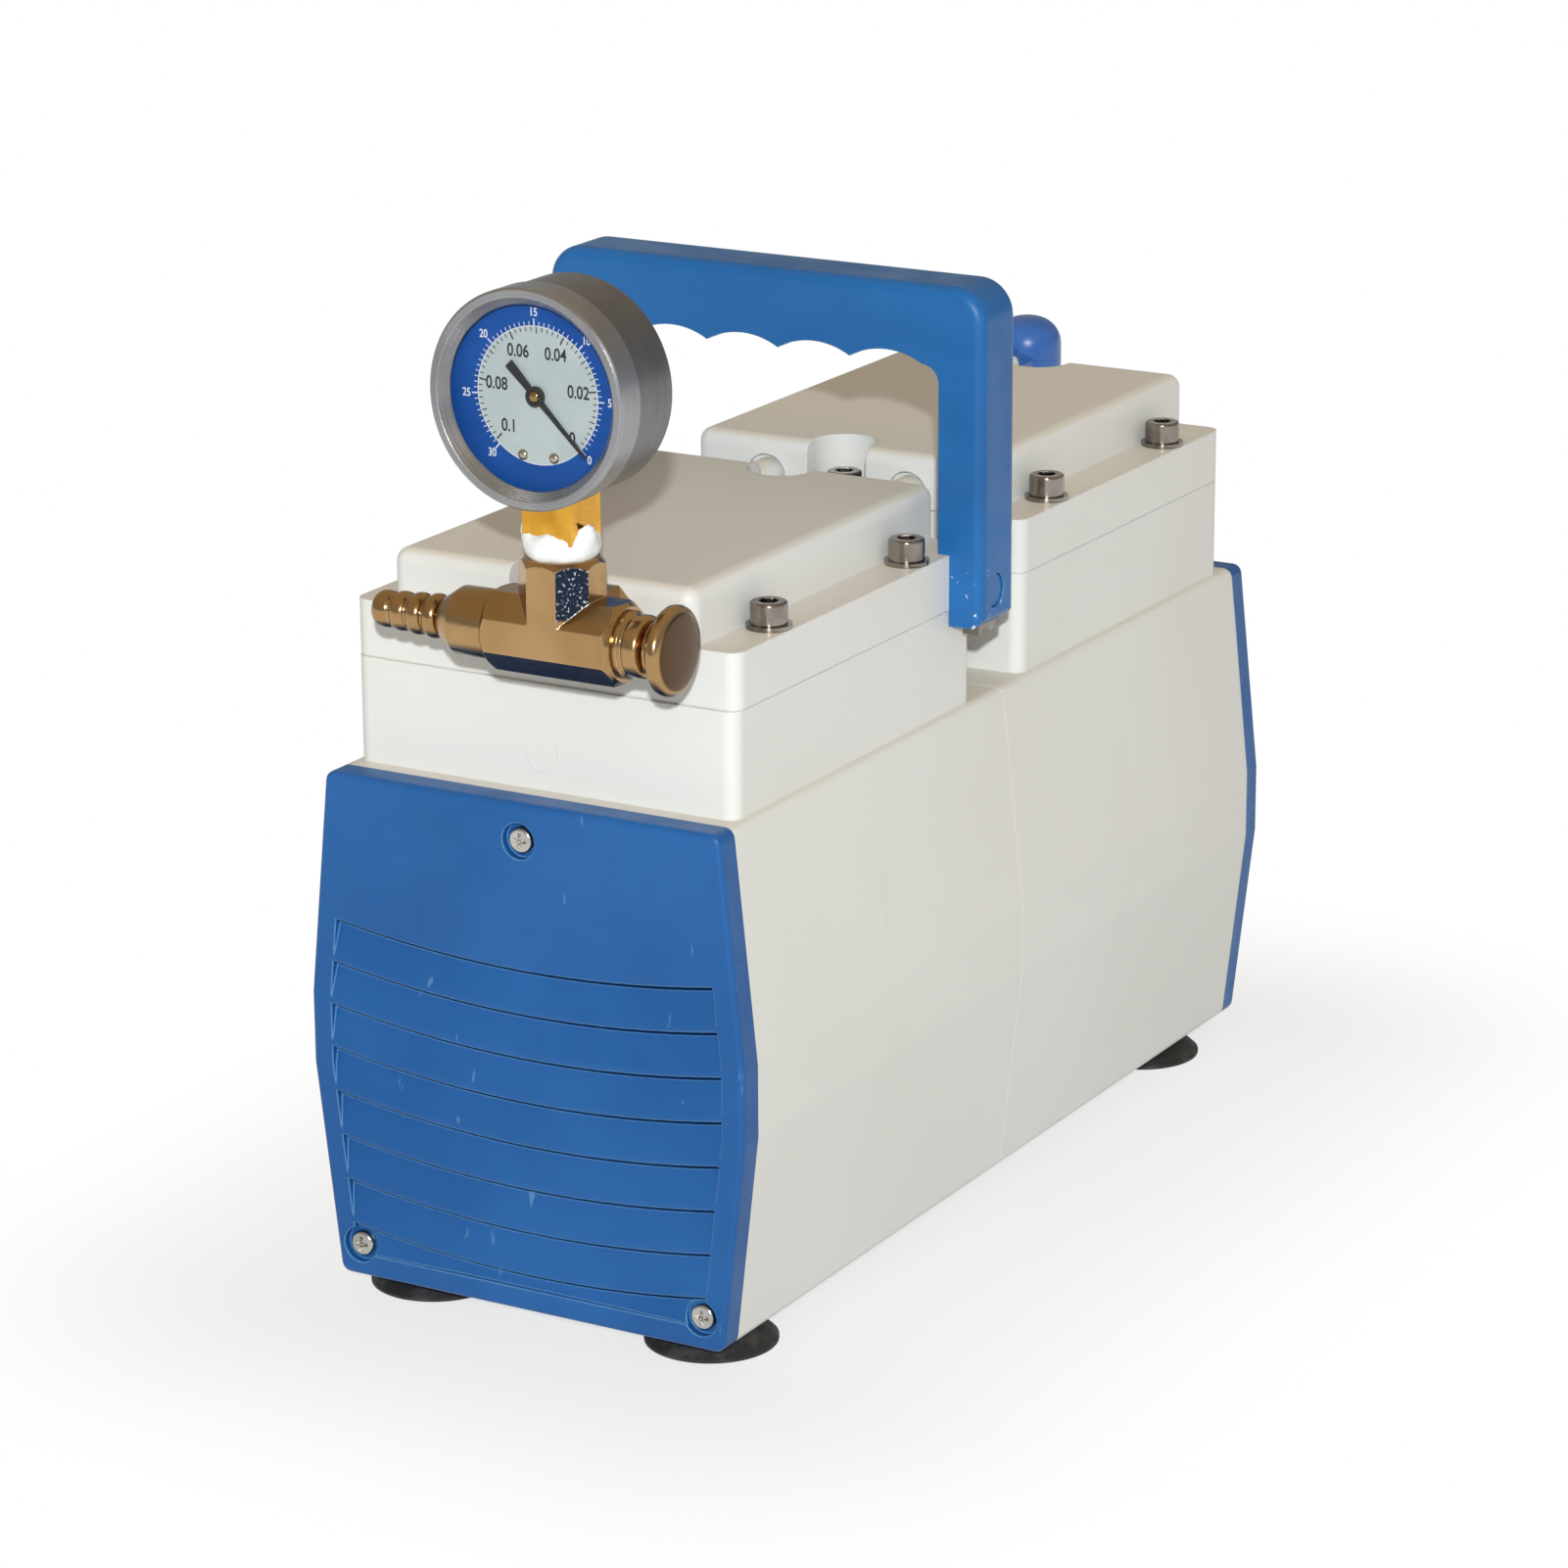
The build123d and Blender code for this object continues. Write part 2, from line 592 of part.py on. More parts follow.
def head_gasket(side):
    """Rubber gasket between valve plate and head, with a bar between the two gas ways."""
    ring = rod_z(PLATE_R, PLATE_TOP, MANIFOLD_Z, y=-HEAD_Y)
    x_in, x_out = MANIFOLD_X
    for sx in (-1, 1):
        ring -= block(
            sx * x_in, sx * x_out, -HEAD_Y - MANIFOLD_Y, -HEAD_Y + MANIFOLD_Y, PLATE_TOP - 1, MANIFOLD_Z + 1
        )
    return at_end(ring, side)


def valve_plate(side):
    """Valve plate: dished underneath, with an inlet valve below and an outlet valve above."""
    plate = rod_z(PLATE_R, NECK_TOP, PLATE_TOP, y=-HEAD_Y)
    dish = [(0, NECK_TOP - 1), (BORE_R, NECK_TOP - 1), (BORE_R, NECK_TOP),
            (DISH_TOP_R, NECK_TOP + DISH_H), (0, NECK_TOP + DISH_H)]
    plate -= turned_z(dish, y=-HEAD_Y)
    roof = NECK_TOP + DISH_H
    for x, z0, z1 in ((VALVE_X, roof - 1, roof + VALVE_T), (-VALVE_X, PLATE_TOP - VALVE_T, PLATE_TOP + 1)):
        pocket = rod_z(VALVE_R + SOFT, z0, z1, x, -HEAD_Y)
        plate -= pocket - rod_z(VALVE_STUD_R, z0 - 1, z1 + 1, x, -HEAD_Y)
        for index in range(4):
            angle = math.radians(90 * index + 45)
            hole_x = x + VALVE_HOLE_PCR * math.cos(angle)
            hole_y = -HEAD_Y + VALVE_HOLE_PCR * math.sin(angle)
            plate -= rod_z(VALVE_HOLE_R, NECK_TOP, PLATE_TOP + 1, hole_x, hole_y)
    return at_end(plate, side)


def valve_discs():
    """Rubber flap discs: one inlet and one outlet valve for each head."""
    roof = NECK_TOP + DISH_H
    discs = []
    for x, z in ((VALVE_X, roof), (-VALVE_X, PLATE_TOP - VALVE_T)):
        disc = rod_z(VALVE_R, z, z + VALVE_T, x, -HEAD_Y)
        discs.append(disc - rod_z(VALVE_STUD_R + SEAT, z - 1, z + VALVE_T + 1, x, -HEAD_Y))
    return discs + [at_end(disc, 1) for disc in discs]


def diaphragm(side):
    """Rubber diaphragm at rest: the front one is at the top of its stroke, the rear one at the bottom."""
    lift = RUBBER_Z - side * THROW
    hole = CLAMP_SCREW_R + SOFT
    profile = [
        (hole, lift), (CLAMP_R, lift), (BORE_R, RUBBER_Z), (RIM_R, RUBBER_Z),
        (RIM_R, NECK_TOP), (BORE_R, NECK_TOP), (CLAMP_R, lift + RUBBER_T), (hole, lift + RUBBER_T),
    ]
    return turned_z(profile, y=side * HEAD_Y)


# --- drive ----------------------------------------------------------------------------------------
def stator():
    half = STACK_L / 2
    core = rod_y(STATOR_R, -half, half) - rod_y(STATOR_BORE, -half - 1, half + 1)
    for bar in slot_bars(half + 1):
        core -= bar
    return core


def slot_bars(half):
    """The slots of the stator core, each open to the air gap side of its tooth ring."""
    bars = []
    for index in range(SLOTS):
        bar = block(-SLOT_W / 2, SLOT_W / 2, -half, half, SHAFT_Z + SLOT_IN, SHAFT_Z + SLOT_OUT)
        bars.append(bar.rotate(Axis((0, 0, SHAFT_Z), (0, 1, 0)), index * 360 / SLOTS))
    return bars


def windings():
    half = STACK_L / 2
    coils = None
    for sign in (-1, 1):
        ring = rod_y(SLOT_OUT, sign * half, sign * (half + COIL_END))
        ring -= rod_y(SLOT_IN, sign * (half - 1), sign * (half + COIL_END + 1))
        outer = ring.edges().group_by(Axis.Y)[0 if sign < 0 else -1]
        ring = fillet(outer, COIL_END / 3)
        coils = ring if coils is None else coils + ring
    for bar in slot_bars(half):
        coils += bar
    return coils


def rotor_core():
    half = STACK_L / 2
    radius = STATOR_BORE - AIR_GAP
    core = rod_y(radius, -half, half)
    for sign in (-1, 1):
        core += rod_y(radius - 2, sign * half, sign * (half + END_RING_T))
    return core - rod_y(SHAFT_R + SEAT, -half - 20, half + 20)


def shaft():
    bar = rod_y(SHAFT_END_R, -SHAFT_L / 2, SHAFT_L / 2) + rod_y(SHAFT_R, -SHOULDER_Y, SHOULDER_Y)
    return chamfer(bar.edges().group_by(Axis.Y)[0] + bar.edges().group_by(Axis.Y)[-1], 1.0)


def race_groove(mid_r, ball_r, y):
    ring = Torus(mid_r, ball_r)
    return Pos(0, y, SHAFT_Z) * Rot(90, 0, 0) * ring


def bearing(inner_r, outer_r, width, y, rise=0.0):
    """Inner ring, outer ring and balls of a deep-groove bearing on a line along Y."""
    mid_r = (inner_r + outer_r) / 2
    ball_r = (outer_r - inner_r) / 2 - RACE_T / 2
    groove = race_groove(mid_r, ball_r + RUN, y)
    land = outer_r - inner_r - 2 * RACE_T
    inner = rod_y(mid_r - land / 2, y - width / 2, y + width / 2)
    inner -= rod_y(inner_r + SEAT, y - width, y + width)
    outer = rod_y(outer_r, y - width / 2, y + width / 2)
    outer -= rod_y(mid_r + land / 2, y - width, y + width)
    balls = []
    for index in range(BALLS):
        angle = 2 * math.pi * index / BALLS
        centre = (mid_r * math.sin(angle), y, SHAFT_Z + mid_r * math.cos(angle))
        balls.append(Pos(*centre) * Sphere(ball_r))
    lifted = Pos(0, 0, rise)
    return lifted * (inner - groove), lifted * (outer - groove), [lifted * ball for ball in balls]


def shaft_bearing(side):
    return bearing(SHAFT_R, SHAFT_BEARING[0], SHAFT_BEARING[1], side * (WEB_OUT - SHAFT_BEARING[1] / 2))


def crank_bearing(side):
    return bearing(CRANK_JOURNAL_R, CRANK_BEARING[0], CRANK_BEARING[1], side * HEAD_Y, -side * THROW)


def eccentric(side):
    """Crank journal with its hub and balance weight."""
    lift = SHAFT_Z - side * THROW
    inner = side * (HEAD_Y - CRANK_BEARING[1] / 2)
    outer = side * (HEAD_Y + CRANK_BEARING[1] / 2)
    web = inner - side * BALANCE_T
    journal = rod_y(CRANK_JOURNAL_R, inner, outer, z=lift)
    sector = rod_y(BALANCE_R, inner, web)
    z_far = SHAFT_Z + side * 2 * BALANCE_R
    sector &= block(-BALANCE_R, BALANCE_R, inner, web, SHAFT_Z, z_far)
    hub = rod_y(HUB_R, inner, side * (SHOULDER_Y + RUN))
    piece = journal + sector + hub - rod_y(SHAFT_END_R + SEAT, 0, side * HEAD_Y * 2)
    return piece - set_screw_hole(side, SET_SCREW_R + SEAT)


def set_screw_hole(side, radius):
    y = side * (SHOULDER_Y + HEAD_Y - CRANK_BEARING[1] / 2 - BALANCE_T) / 2
    return rod_z(radius, SHAFT_Z + SHAFT_END_R + SEAT, SHAFT_Z + HUB_R, y=y)


def cooling_fan(side):
    """Axial fan with pitched blades and a rim-less hub."""
    near = side * FAN_Y
    far = side * (FAN_Y + FAN_W)
    fan = rod_y(FAN_HUB_R, near, far)
    blade = Rot(0, 0, side * BLADE_PITCH) * Box(BLADE_T, FAN_W, FAN_R - FAN_HUB_R + 4)
    blade = Pos(0, (near + far) / 2, SHAFT_Z + (FAN_R + FAN_HUB_R) / 2 - 2) * blade
    envelope = rod_y(FAN_R, near, far)
    for index in range(BLADES):
        fan += blade.rotate(Axis((0, 0, SHAFT_Z), (0, 1, 0)), index * 360 / BLADES) & envelope
    return fan - rod_y(SHAFT_END_R + SEAT, near - side, far + side)


def fan_nut(side):
    y = side * (FAN_Y + FAN_W)
    nut = Pos(0, y, SHAFT_Z) * Rot(-90 * side, 0, 0) * polygon_bar(FAN_NUT_AF, 6, FAN_NUT_T)
    return nut - rod_y(SHAFT_END_R + SEAT, y - side, y + 2 * side * FAN_NUT_T)


def connecting_rod(side):
    """Rod with a bearing eye on the crank journal and a flat seat under the diaphragm."""
    lift = -side * THROW
    y0, y1 = -CRANK_BEARING[1] / 2, CRANK_BEARING[1] / 2
    eye_r = CRANK_BEARING[0] + ROD_EYE_T
    eye = rod_y(eye_r, y0, y1)
    shank = block(-ROD_NECK_W / 2, ROD_NECK_W / 2, y0, y1, SHAFT_Z, ROD_TOP)
    seat = rod_z(ROD_HEAD_R, ROD_TOP - ROD_HEAD_H, ROD_TOP)
    rod = eye + shank + seat
    groove_w = ROD_NECK_W - 2 * ROD_RIB_T
    for sy in (-1, 1):
        rod -= block(
            -groove_w / 2, groove_w / 2, sy * ROD_WEB_T / 2, sy * (y1 + 1),
            SHAFT_Z + eye_r + ROD_RIB_T, ROD_TOP - CLAMP_SCREW_BITE - ROD_RIB_T,
        )
    rod -= rod_y(CRANK_BEARING[0] + SEAT, y0 - 1, y1 + 1)
    rod -= rod_z(CLAMP_SCREW_R + SEAT, ROD_TOP - CLAMP_SCREW_BITE, ROD_TOP + 1)
    return Pos(0, side * HEAD_Y, lift) * rod


def clamp_discs(side):
    """The dished washers above and below the middle of the diaphragm."""
    lift = -side * THROW
    low = rod_z(CLAMP_R, ROD_TOP, RUBBER_Z) - rod_z(CLAMP_SCREW_R + SEAT, ROD_TOP - 1, RUBBER_Z + 1)
    high = rod_z(CLAMP_R, NECK_TOP, NECK_TOP + CLAMP_T)
    sink = turned_z(clamp_screw_cone(SEAT))
    return [Pos(0, side * HEAD_Y, lift) * low, Pos(0, side * HEAD_Y, lift) * (high - sink)]


def clamp_screw_cone(gap):
    return [
        (0, NECK_TOP - 1), (CLAMP_SCREW_R + gap, NECK_TOP - 1), (CLAMP_SCREW_R + gap, NECK_TOP + 0.5),
        (CLAMP_SCREW_HEAD_R + gap, NECK_TOP + CLAMP_T), (0, NECK_TOP + CLAMP_T),
    ]


def clamp_screw(side):
    shank = rod_z(CLAMP_SCREW_R, ROD_TOP - CLAMP_SCREW_BITE + 1, NECK_TOP)
    screw = shank + turned_z(clamp_screw_cone(0))
    socket = Pos(0, 0, NECK_TOP + CLAMP_T / 3) * polygon_bar(CLAMP_SCREW_R * 1.25, 6, CLAMP_T)
    return Pos(0, side * HEAD_Y, -side * THROW) * (screw - socket)


def run_capacitor():
    z = BASE_Z + WALL + CAPACITOR_R
    can = rod_y(CAPACITOR_R, CAPACITOR_Y, CAPACITOR_Y + CAPACITOR_L, CAPACITOR_X, z)
    return fillet(can.edges().group_by(Axis.Y)[0], 2.0)


# --- feet -----------------------------------------------------------------------------------------
def feet():
    """Rubber suction cups under the corners."""
    profile = [
        (FOOT_SCREW_R + SEAT, FOOT_CUP), (FOOT_TOP_R, FOOT_CUP), (FOOT_R - FOOT_LIP, 0), (FOOT_R, 0),
        (FOOT_R, 0.8), (FOOT_R - 2, 2.6), (FOOT_TOP_R + 1, FOOT_H - 1.2), (FOOT_TOP_R, FOOT_H),
        (FOOT_SCREW_R + SEAT, FOOT_H),
    ]
    return [turned_z(profile, x, y) for x in (-FOOT_X, FOOT_X) for y in FOOT_Y]


def foot_screws():
    screws = []
    for x in (-FOOT_X, FOOT_X):
        for y in FOOT_Y:
            head_low = FOOT_CUP - FOOT_SCREW_HEAD_H
            screw = rod_z(FOOT_SCREW_HEAD_R, head_low, FOOT_CUP, x, y)
            screw += rod_z(FOOT_SCREW_R, FOOT_CUP, BASE_Z + FOOT_SCREW_BITE - 0.5, x, y)
            screws.append(screw - block(x - 3, x + 3, y - 0.6, y + 0.6, head_low - 1, head_low + 1))
    return screws


# --- handle ---------------------------------------------------------------------------------------
def handle_screw_line():
    return GRIP_FRONT + GRIP_DEPTH / 2 - 1.5, HANDLE_SCREW_Z


def finger_arches():
    """Finger grooves under the grip, counted from its right end."""
    half = FINGER_PITCH / 2
    arch_r = (half**2 + FINGER_RISE**2) / (2 * FINGER_RISE)
    under = GRIP_UNDER
    first = GRIP_INNER_W / 2 - GRIP_INNER_R - half
    arches = None
    for index in range(FINGERS):
        x = first - index * FINGER_PITCH
        arch = Pos(x, under + FINGER_RISE - arch_r) * Circle(arch_r)
        arch &= Pos(x, under + FINGER_RISE / 2) * Rectangle(FINGER_PITCH, FINGER_RISE)
        arches = arch if arches is None else arches + arch
    return arches


def handle_grip():
    """Moulded grip over the strap: two legs, a corner each and four finger grooves."""
    top = GRIP_TOP
    low = GRIP_LOW
    under = GRIP_UNDER
    outer = Pos(0, (top + low) / 2) * Rectangle(GRIP_W, top - low)
    outer = fillet(outer.vertices().group_by(Axis.Y)[-1], GRIP_CORNER_R)
    outer = chamfer(outer.vertices().group_by(Axis.Y)[0], 2.5)
    bay = Pos(0, (FLANGE_TOP + under) / 2) * Rectangle(GRIP_INNER_W, under - FLANGE_TOP)
    bay = fillet(bay.vertices().group_by(Axis.Y)[-1], GRIP_INNER_R)
    gap = Pos(0, (low - 1 + FLANGE_TOP) / 2) * Rectangle(FLANGE_W, FLANGE_TOP - low + 1)
    solid = plate_y(outer, GRIP_FRONT, GRIP_FRONT + GRIP_DEPTH)
    rims = [e for e in solid.edges().group_by(Axis.Y)[0] + solid.edges().group_by(Axis.Y)[-1]
            if e.center().Z > low + 4]
    solid = fillet(rims, GRIP_EDGE_R)
    solid -= plate_y(bay + gap + finger_arches(), GRIP_FRONT - 1, GRIP_FRONT + GRIP_DEPTH + 1)
    solid -= handle_strap_solid()
    y, z = handle_screw_line()
    for sx in (-1, 1):
        solid -= rod_x(HANDLE_SCREW_R + SCREW_CLEAR, sx * FLANGE_W / 2.1, sx * GRIP_W / 2, y, z)
        solid -= rod_x(HANDLE_SCREW_HEAD_R + SCREW_CLEAR, sx * strap_outer_x(), sx * GRIP_W, y, z)
    return solid


def strap_outer_x():
    return GRIP_W / 2 - STRAP_SIDE


def handle_strap_solid():
    """Flat steel bar bent to a U inside the grip."""
    outer_x = strap_outer_x()
    low = GRIP_LOW - STRAP_OUT
    top = GRIP_TOP - 2 * STRAP_SIDE
    outer = Pos(0, (low + top) / 2) * Rectangle(2 * outer_x, top - low)
    outer = fillet(outer.vertices().group_by(Axis.Y)[-1], STRAP_BEND_R)
    inner_x = outer_x - STRAP_T
    inner = Pos(0, (low - 1 + top - STRAP_T) / 2) * Rectangle(2 * inner_x, top - STRAP_T - low + 1)
    inner = fillet(inner.vertices().group_by(Axis.Y)[-1], STRAP_BEND_R - STRAP_T)
    mid = GRIP_FRONT + GRIP_DEPTH / 2
    return plate_y(outer - inner, mid - STRAP_W / 2, mid + STRAP_W / 2)


def handle_strap():
    y, z = handle_screw_line()
    strap = handle_strap_solid()
    for sx in (-1, 1):
        strap -= rod_x(HANDLE_SCREW_R + SCREW_CLEAR, sx * FLANGE_W / 2.1, sx * GRIP_W / 2, y, z)
    return strap


def handle_screws():
    y, z = handle_screw_line()
    screws = []
    for sx in (-1, 1):
        seat = strap_outer_x()
        head_x = seat + 2.0
        screw = rod_x(HANDLE_SCREW_HEAD_R, sx * seat, sx * head_x, y, z)
        screw += rod_x(HANDLE_SCREW_R, sx * (FLANGE_W / 2 - HANDLE_SCREW_BITE + 1), sx * seat, y, z)
        screws.append(screw)
    return screws


# --- inlet cross ----------------------------------------------------------------------------------
def coned_bar(across_flats, length):
    """Octagonal bar along +Z with turned cones at its ends."""
    corner_r = across_flats / 2 / math.cos(math.pi / 8)
    flat_r = across_flats / 2 - 0.8
    bar = polygon_bar(across_flats, 8, length)
    cone = CROSS_CONE
    envelope = turned_z([
        (0, 0), (flat_r, 0), (corner_r + 0.5, cone), (corner_r + 0.5, length - cone), (flat_r, length),
        (0, length),
    ])
    return bar & envelope


def cross_fitting():
    """Four-way fitting: barb to the left, bleed valve to the right, gauge above, head behind."""
    x = PORT_X
    along_bar = Pos(x - CROSS_HALF, CROSS_Y, PORT_Z) * Rot(0, 90, 0) * coned_bar(CROSS_AF, 2 * CROSS_HALF)
    up = Pos(x, CROSS_Y, PORT_Z) * coned_bar(CROSS_AF, ARM_UP)
    back_l = -COVER_OUT - CROSS_Y
    back = Pos(x, CROSS_Y, PORT_Z) * Rot(-90, 0, 0) * polygon_bar(ARM_BACK_AF, 8, back_l)
    body = along_bar + up + back
    body += rod_y(PORT_R, -COVER_OUT, -COVER_OUT + PORT_DEPTH - 1, x, PORT_Z)
    body -= rod_x(THREAD_R, x - CROSS_HALF - 1, x - CROSS_HALF + THREAD_L, CROSS_Y, PORT_Z)
    body -= rod_x(THREAD_R, x + CROSS_HALF - THREAD_L, x + CROSS_HALF + 1, CROSS_Y, PORT_Z)
    body -= rod_z(THREAD_R, PORT_Z + ARM_UP - THREAD_L, PORT_Z + ARM_UP + 1, x, CROSS_Y)
    body -= rod_x(CROSS_BORE, x - CROSS_HALF, x + CROSS_BORE, CROSS_Y, PORT_Z)
    body -= rod_x(NEEDLE_SEAT_R, x, x + CROSS_HALF, CROSS_Y, PORT_Z)
    body -= rod_z(CROSS_BORE, PORT_Z, PORT_Z + ARM_UP, x, CROSS_Y)
    return body - rod_y(CROSS_BORE - 1, CROSS_Y, -COVER_OUT + PORT_DEPTH, x, PORT_Z)


def hose_barb():
    """Hose barb with rounded ridges, a collar and a thread in the cross."""
    root = PORT_X - CROSS_HALF
    collar = root - BARB_COLLAR_L
    tip = collar - BARB_RIDGES * BARB_PITCH - 1
    barb = rod_x(THREAD_R - SEAT, root, root + THREAD_L - 1, CROSS_Y, PORT_Z)
    taper = BARB_COLLAR_L / 2
    barb += turned_x([
        (root, 0), (root, BARB_COLLAR_R), (root - taper, BARB_COLLAR_R), (collar, BARB_CREST_R),
        (tip, BARB_ROOT_R), (tip, 0),
    ], CROSS_Y, PORT_Z)
    barb = barb + rod_x(BARB_ROOT_R, tip, collar, CROSS_Y, PORT_Z)
    for index in range(BARB_RIDGES):
        x = collar - (index + 0.5) * BARB_PITCH
        ridge = turned_x([
            (x + BARB_PITCH / 2 - 0.4, 0), (x + BARB_PITCH / 2 - 0.4, BARB_ROOT_R),
            (x + 1.4, BARB_CREST_R), (x - 1.0, BARB_CREST_R), (x - BARB_PITCH / 2, BARB_ROOT_R),
            (x - BARB_PITCH / 2, 0),
        ], CROSS_Y, PORT_Z)
        barb += ridge
    return barb - rod_x(BARB_BORE, tip - 1, root + THREAD_L, CROSS_Y, PORT_Z)


def thread_tape():
    """Sealing tape wound on the gauge thread, standing proud of the cross."""
    z = PORT_Z + ARM_UP
    ring = rod_z(TAPE_R, z, z + TAPE_H, PORT_X, CROSS_Y)
    return ring - rod_z(THREAD_R - 1 + SEAT, z - 1, z + TAPE_H + 1, PORT_X, CROSS_Y)


def valve_bonnet():
    """Neck of the bleed valve, with two turned beads, guiding the needle."""
    root = PORT_X + CROSS_HALF
    bonnet = rod_x(THREAD_R - SEAT, root - THREAD_L + 1, root, CROSS_Y, PORT_Z)
    profile = [(root, 0), (root, BONNET_R), (root + 1.5, BONNET_R + 1), (root + 3, BONNET_R + 1)]
    profile += [(root + 4, BONNET_R - 1.2), (root + 6, BONNET_R - 1.2), (root + 6.8, BONNET_R)]
    profile += [(root + BONNET_L - 0.6, BONNET_R), (root + BONNET_L, BONNET_R - 1), (root + BONNET_L, 0)]
    bonnet += turned_x(profile, CROSS_Y, PORT_Z)
    bonnet -= rod_x(NEEDLE_R + RUN, root - THREAD_L, root + BONNET_L + 1, CROSS_Y, PORT_Z)
    bonnet -= rod_x(BONNET_BORE, root - THREAD_L, root + BONNET_BORE, CROSS_Y, PORT_Z)
    return bonnet - rod_z(VENT_R, PORT_Z - 2 * BONNET_R, PORT_Z, root + BONNET_BORE / 2, CROSS_Y)


def valve_needle():
    """Needle with a pointed end in the cross and a stem that carries the knob."""
    root = PORT_X + CROSS_HALF
    start = root - THREAD_L - NEEDLE_TAPER * (NEEDLE_SEAT_R - RUN) / NEEDLE_R
    return turned_x([
        (start, 0), (start + NEEDLE_TAPER, NEEDLE_R), (needle_end(), NEEDLE_R), (needle_end(), 0)
    ], CROSS_Y, PORT_Z)


def needle_end():
    return PORT_X + CROSS_HALF + BONNET_L + KNOB_GAP + 0.7 * KNOB_L


def valve_knob():
    """Mushroom knob with a domed face."""
    start = PORT_X + CROSS_HALF + BONNET_L + KNOB_GAP
    profile = [(start, 0), (start, KNOB_NECK_R - 1), (start + 1.5, KNOB_NECK_R), (start + 3.5, KNOB_NECK_R)]
    profile += [(start + 5, KNOB_R - 1.6), (start + 6, KNOB_R), (start + 8, KNOB_R)]
    profile += [(start + 9.6, KNOB_R - 1.4), (start + KNOB_L - 1, KNOB_R * 0.6), (start + KNOB_L, 0)]
    knob = turned_x(profile, CROSS_Y, PORT_Z)
    return knob - rod_x(NEEDLE_R + RUN, start - 1, needle_end() + RUN, CROSS_Y, PORT_Z)


# --- vacuum gauge ---------------------------------------------------------------------------------
def gauge_case():
    back = GAUGE_FRONT + GAUGE_DEPTH
    rim = GAUGE_FRONT + GLASS_SET + GLASS_T
    case = turned_y([
        (0, back), (CASE_R, back), (CASE_R, rim), (CASE_R - CASE_WALL, rim),
        (CASE_R - CASE_WALL, back - CASE_WALL), (0, back - CASE_WALL),
    ], PORT_X, GAUGE_Z)
    return case - Pos(PORT_X, CROSS_Y, 0) * stem_bar(SEAT)


def stem_bar(gap):
    half = STEM_AF / 2 + gap
    low = PORT_Z + ARM_UP + TAPE_H
    high = GAUGE_Z - CASE_R + STEM_AF / 2
    return block(-half, half, -half, half, low, high)


def gauge_stem():
    """Square brass stem, threaded into the cross, ending inside the case."""
    stem = Pos(PORT_X, CROSS_Y, 0) * stem_bar(0)
    low = PORT_Z + ARM_UP
    neck = rod_z(THREAD_R - 1, low - THREAD_L + 1, low + TAPE_H, PORT_X, CROSS_Y)
    stem += neck + rod_z(THREAD_R - SEAT, low - THREAD_L + 1, low, PORT_X, CROSS_Y)
    return stem - rod_z(CROSS_BORE / 2, low - THREAD_L, GAUGE_Z - CASE_R + STEM_AF / 3, PORT_X, CROSS_Y)


def gauge_bezel():
    front = GAUGE_FRONT
    glass_y = front + GLASS_SET
    return turned_y([
        (WINDOW_R, glass_y), (GAUGE_R - 2.4, front), (GAUGE_R - 0.6, front), (GAUGE_R, front + 0.6),
        (GAUGE_R, front + BEZEL_L), (CASE_R + SEAT, front + BEZEL_L), (CASE_R + SEAT, glass_y),
    ], PORT_X, GAUGE_Z)


def gauge_glass():
    y = GAUGE_FRONT + GLASS_SET
    return rod_y(CASE_R, y, y + GLASS_T, PORT_X, GAUGE_Z)


def gauge_dial():
    y = GAUGE_FRONT + DIAL_SET
    dial = rod_y(CASE_R - CASE_WALL - SEAT, y, y + DIAL_T, PORT_X, GAUGE_Z)
    return dial - rod_y(ARBOR_R + RUN, y - 1, y + DIAL_T + 1, PORT_X, GAUGE_Z)


def gauge_pointer():
    """Pointer at zero, with its wide tail and its arbor through the dial."""
    dial_y = GAUGE_FRONT + DIAL_SET
    y1 = dial_y - POINTER_GAP
    y0 = y1 - POINTER_T
    blade = make_face(Polyline(
        (-POINTER_TAIL, -1.2), (-2, -0.8), (POINTER_TIP, -0.25), (POINTER_TIP, 0.25), (-2, 0.8),
        (-POINTER_TAIL, 1.2), close=True,
    ))
    arm = plate_y(blade, y0, y1)
    arm += rod_y(POINTER_HUB_R, y0 - 0.4, y1, z=0)
    arm += rod_y(ARBOR_R, y0, dial_y + DIAL_T + 4, z=0)
    return Pos(PORT_X, 0, GAUGE_Z) * Rot(0, -ZERO_ANGLE, 0) * arm


def gauge_movement():
    """Curved pressure tube and the plate that carries the arbor, on top of the stem."""
    y = CROSS_Y
    tube = Torus(TUBE_RING_R, TUBE_R)
    tube = Pos(PORT_X, y, GAUGE_Z) * Rot(90, 0, 0) * tube
    tube -= block(PORT_X - 30, PORT_X - 4, y - 5, y + 5, GAUGE_Z - 30, GAUGE_Z - 4)
    stem_top = GAUGE_Z - CASE_R + STEM_AF / 2
    post = block(PORT_X - 4, PORT_X + 4, y - 3, y + 3, stem_top, GAUGE_Z + 4)
    back_y = GAUGE_FRONT + DIAL_SET + DIAL_T + 2
    post += block(PORT_X - 4, PORT_X + 4, back_y, y - 2, GAUGE_Z - 4, GAUGE_Z + 4)
    movement = tube + post
    return movement - rod_y(ARBOR_R + RUN, back_y - 1, back_y + 3, PORT_X, GAUGE_Z)


# --- silencer -------------------------------------------------------------------------------------
def silencer_y():
    return -GAUGE_FRONT - SILENCER_R


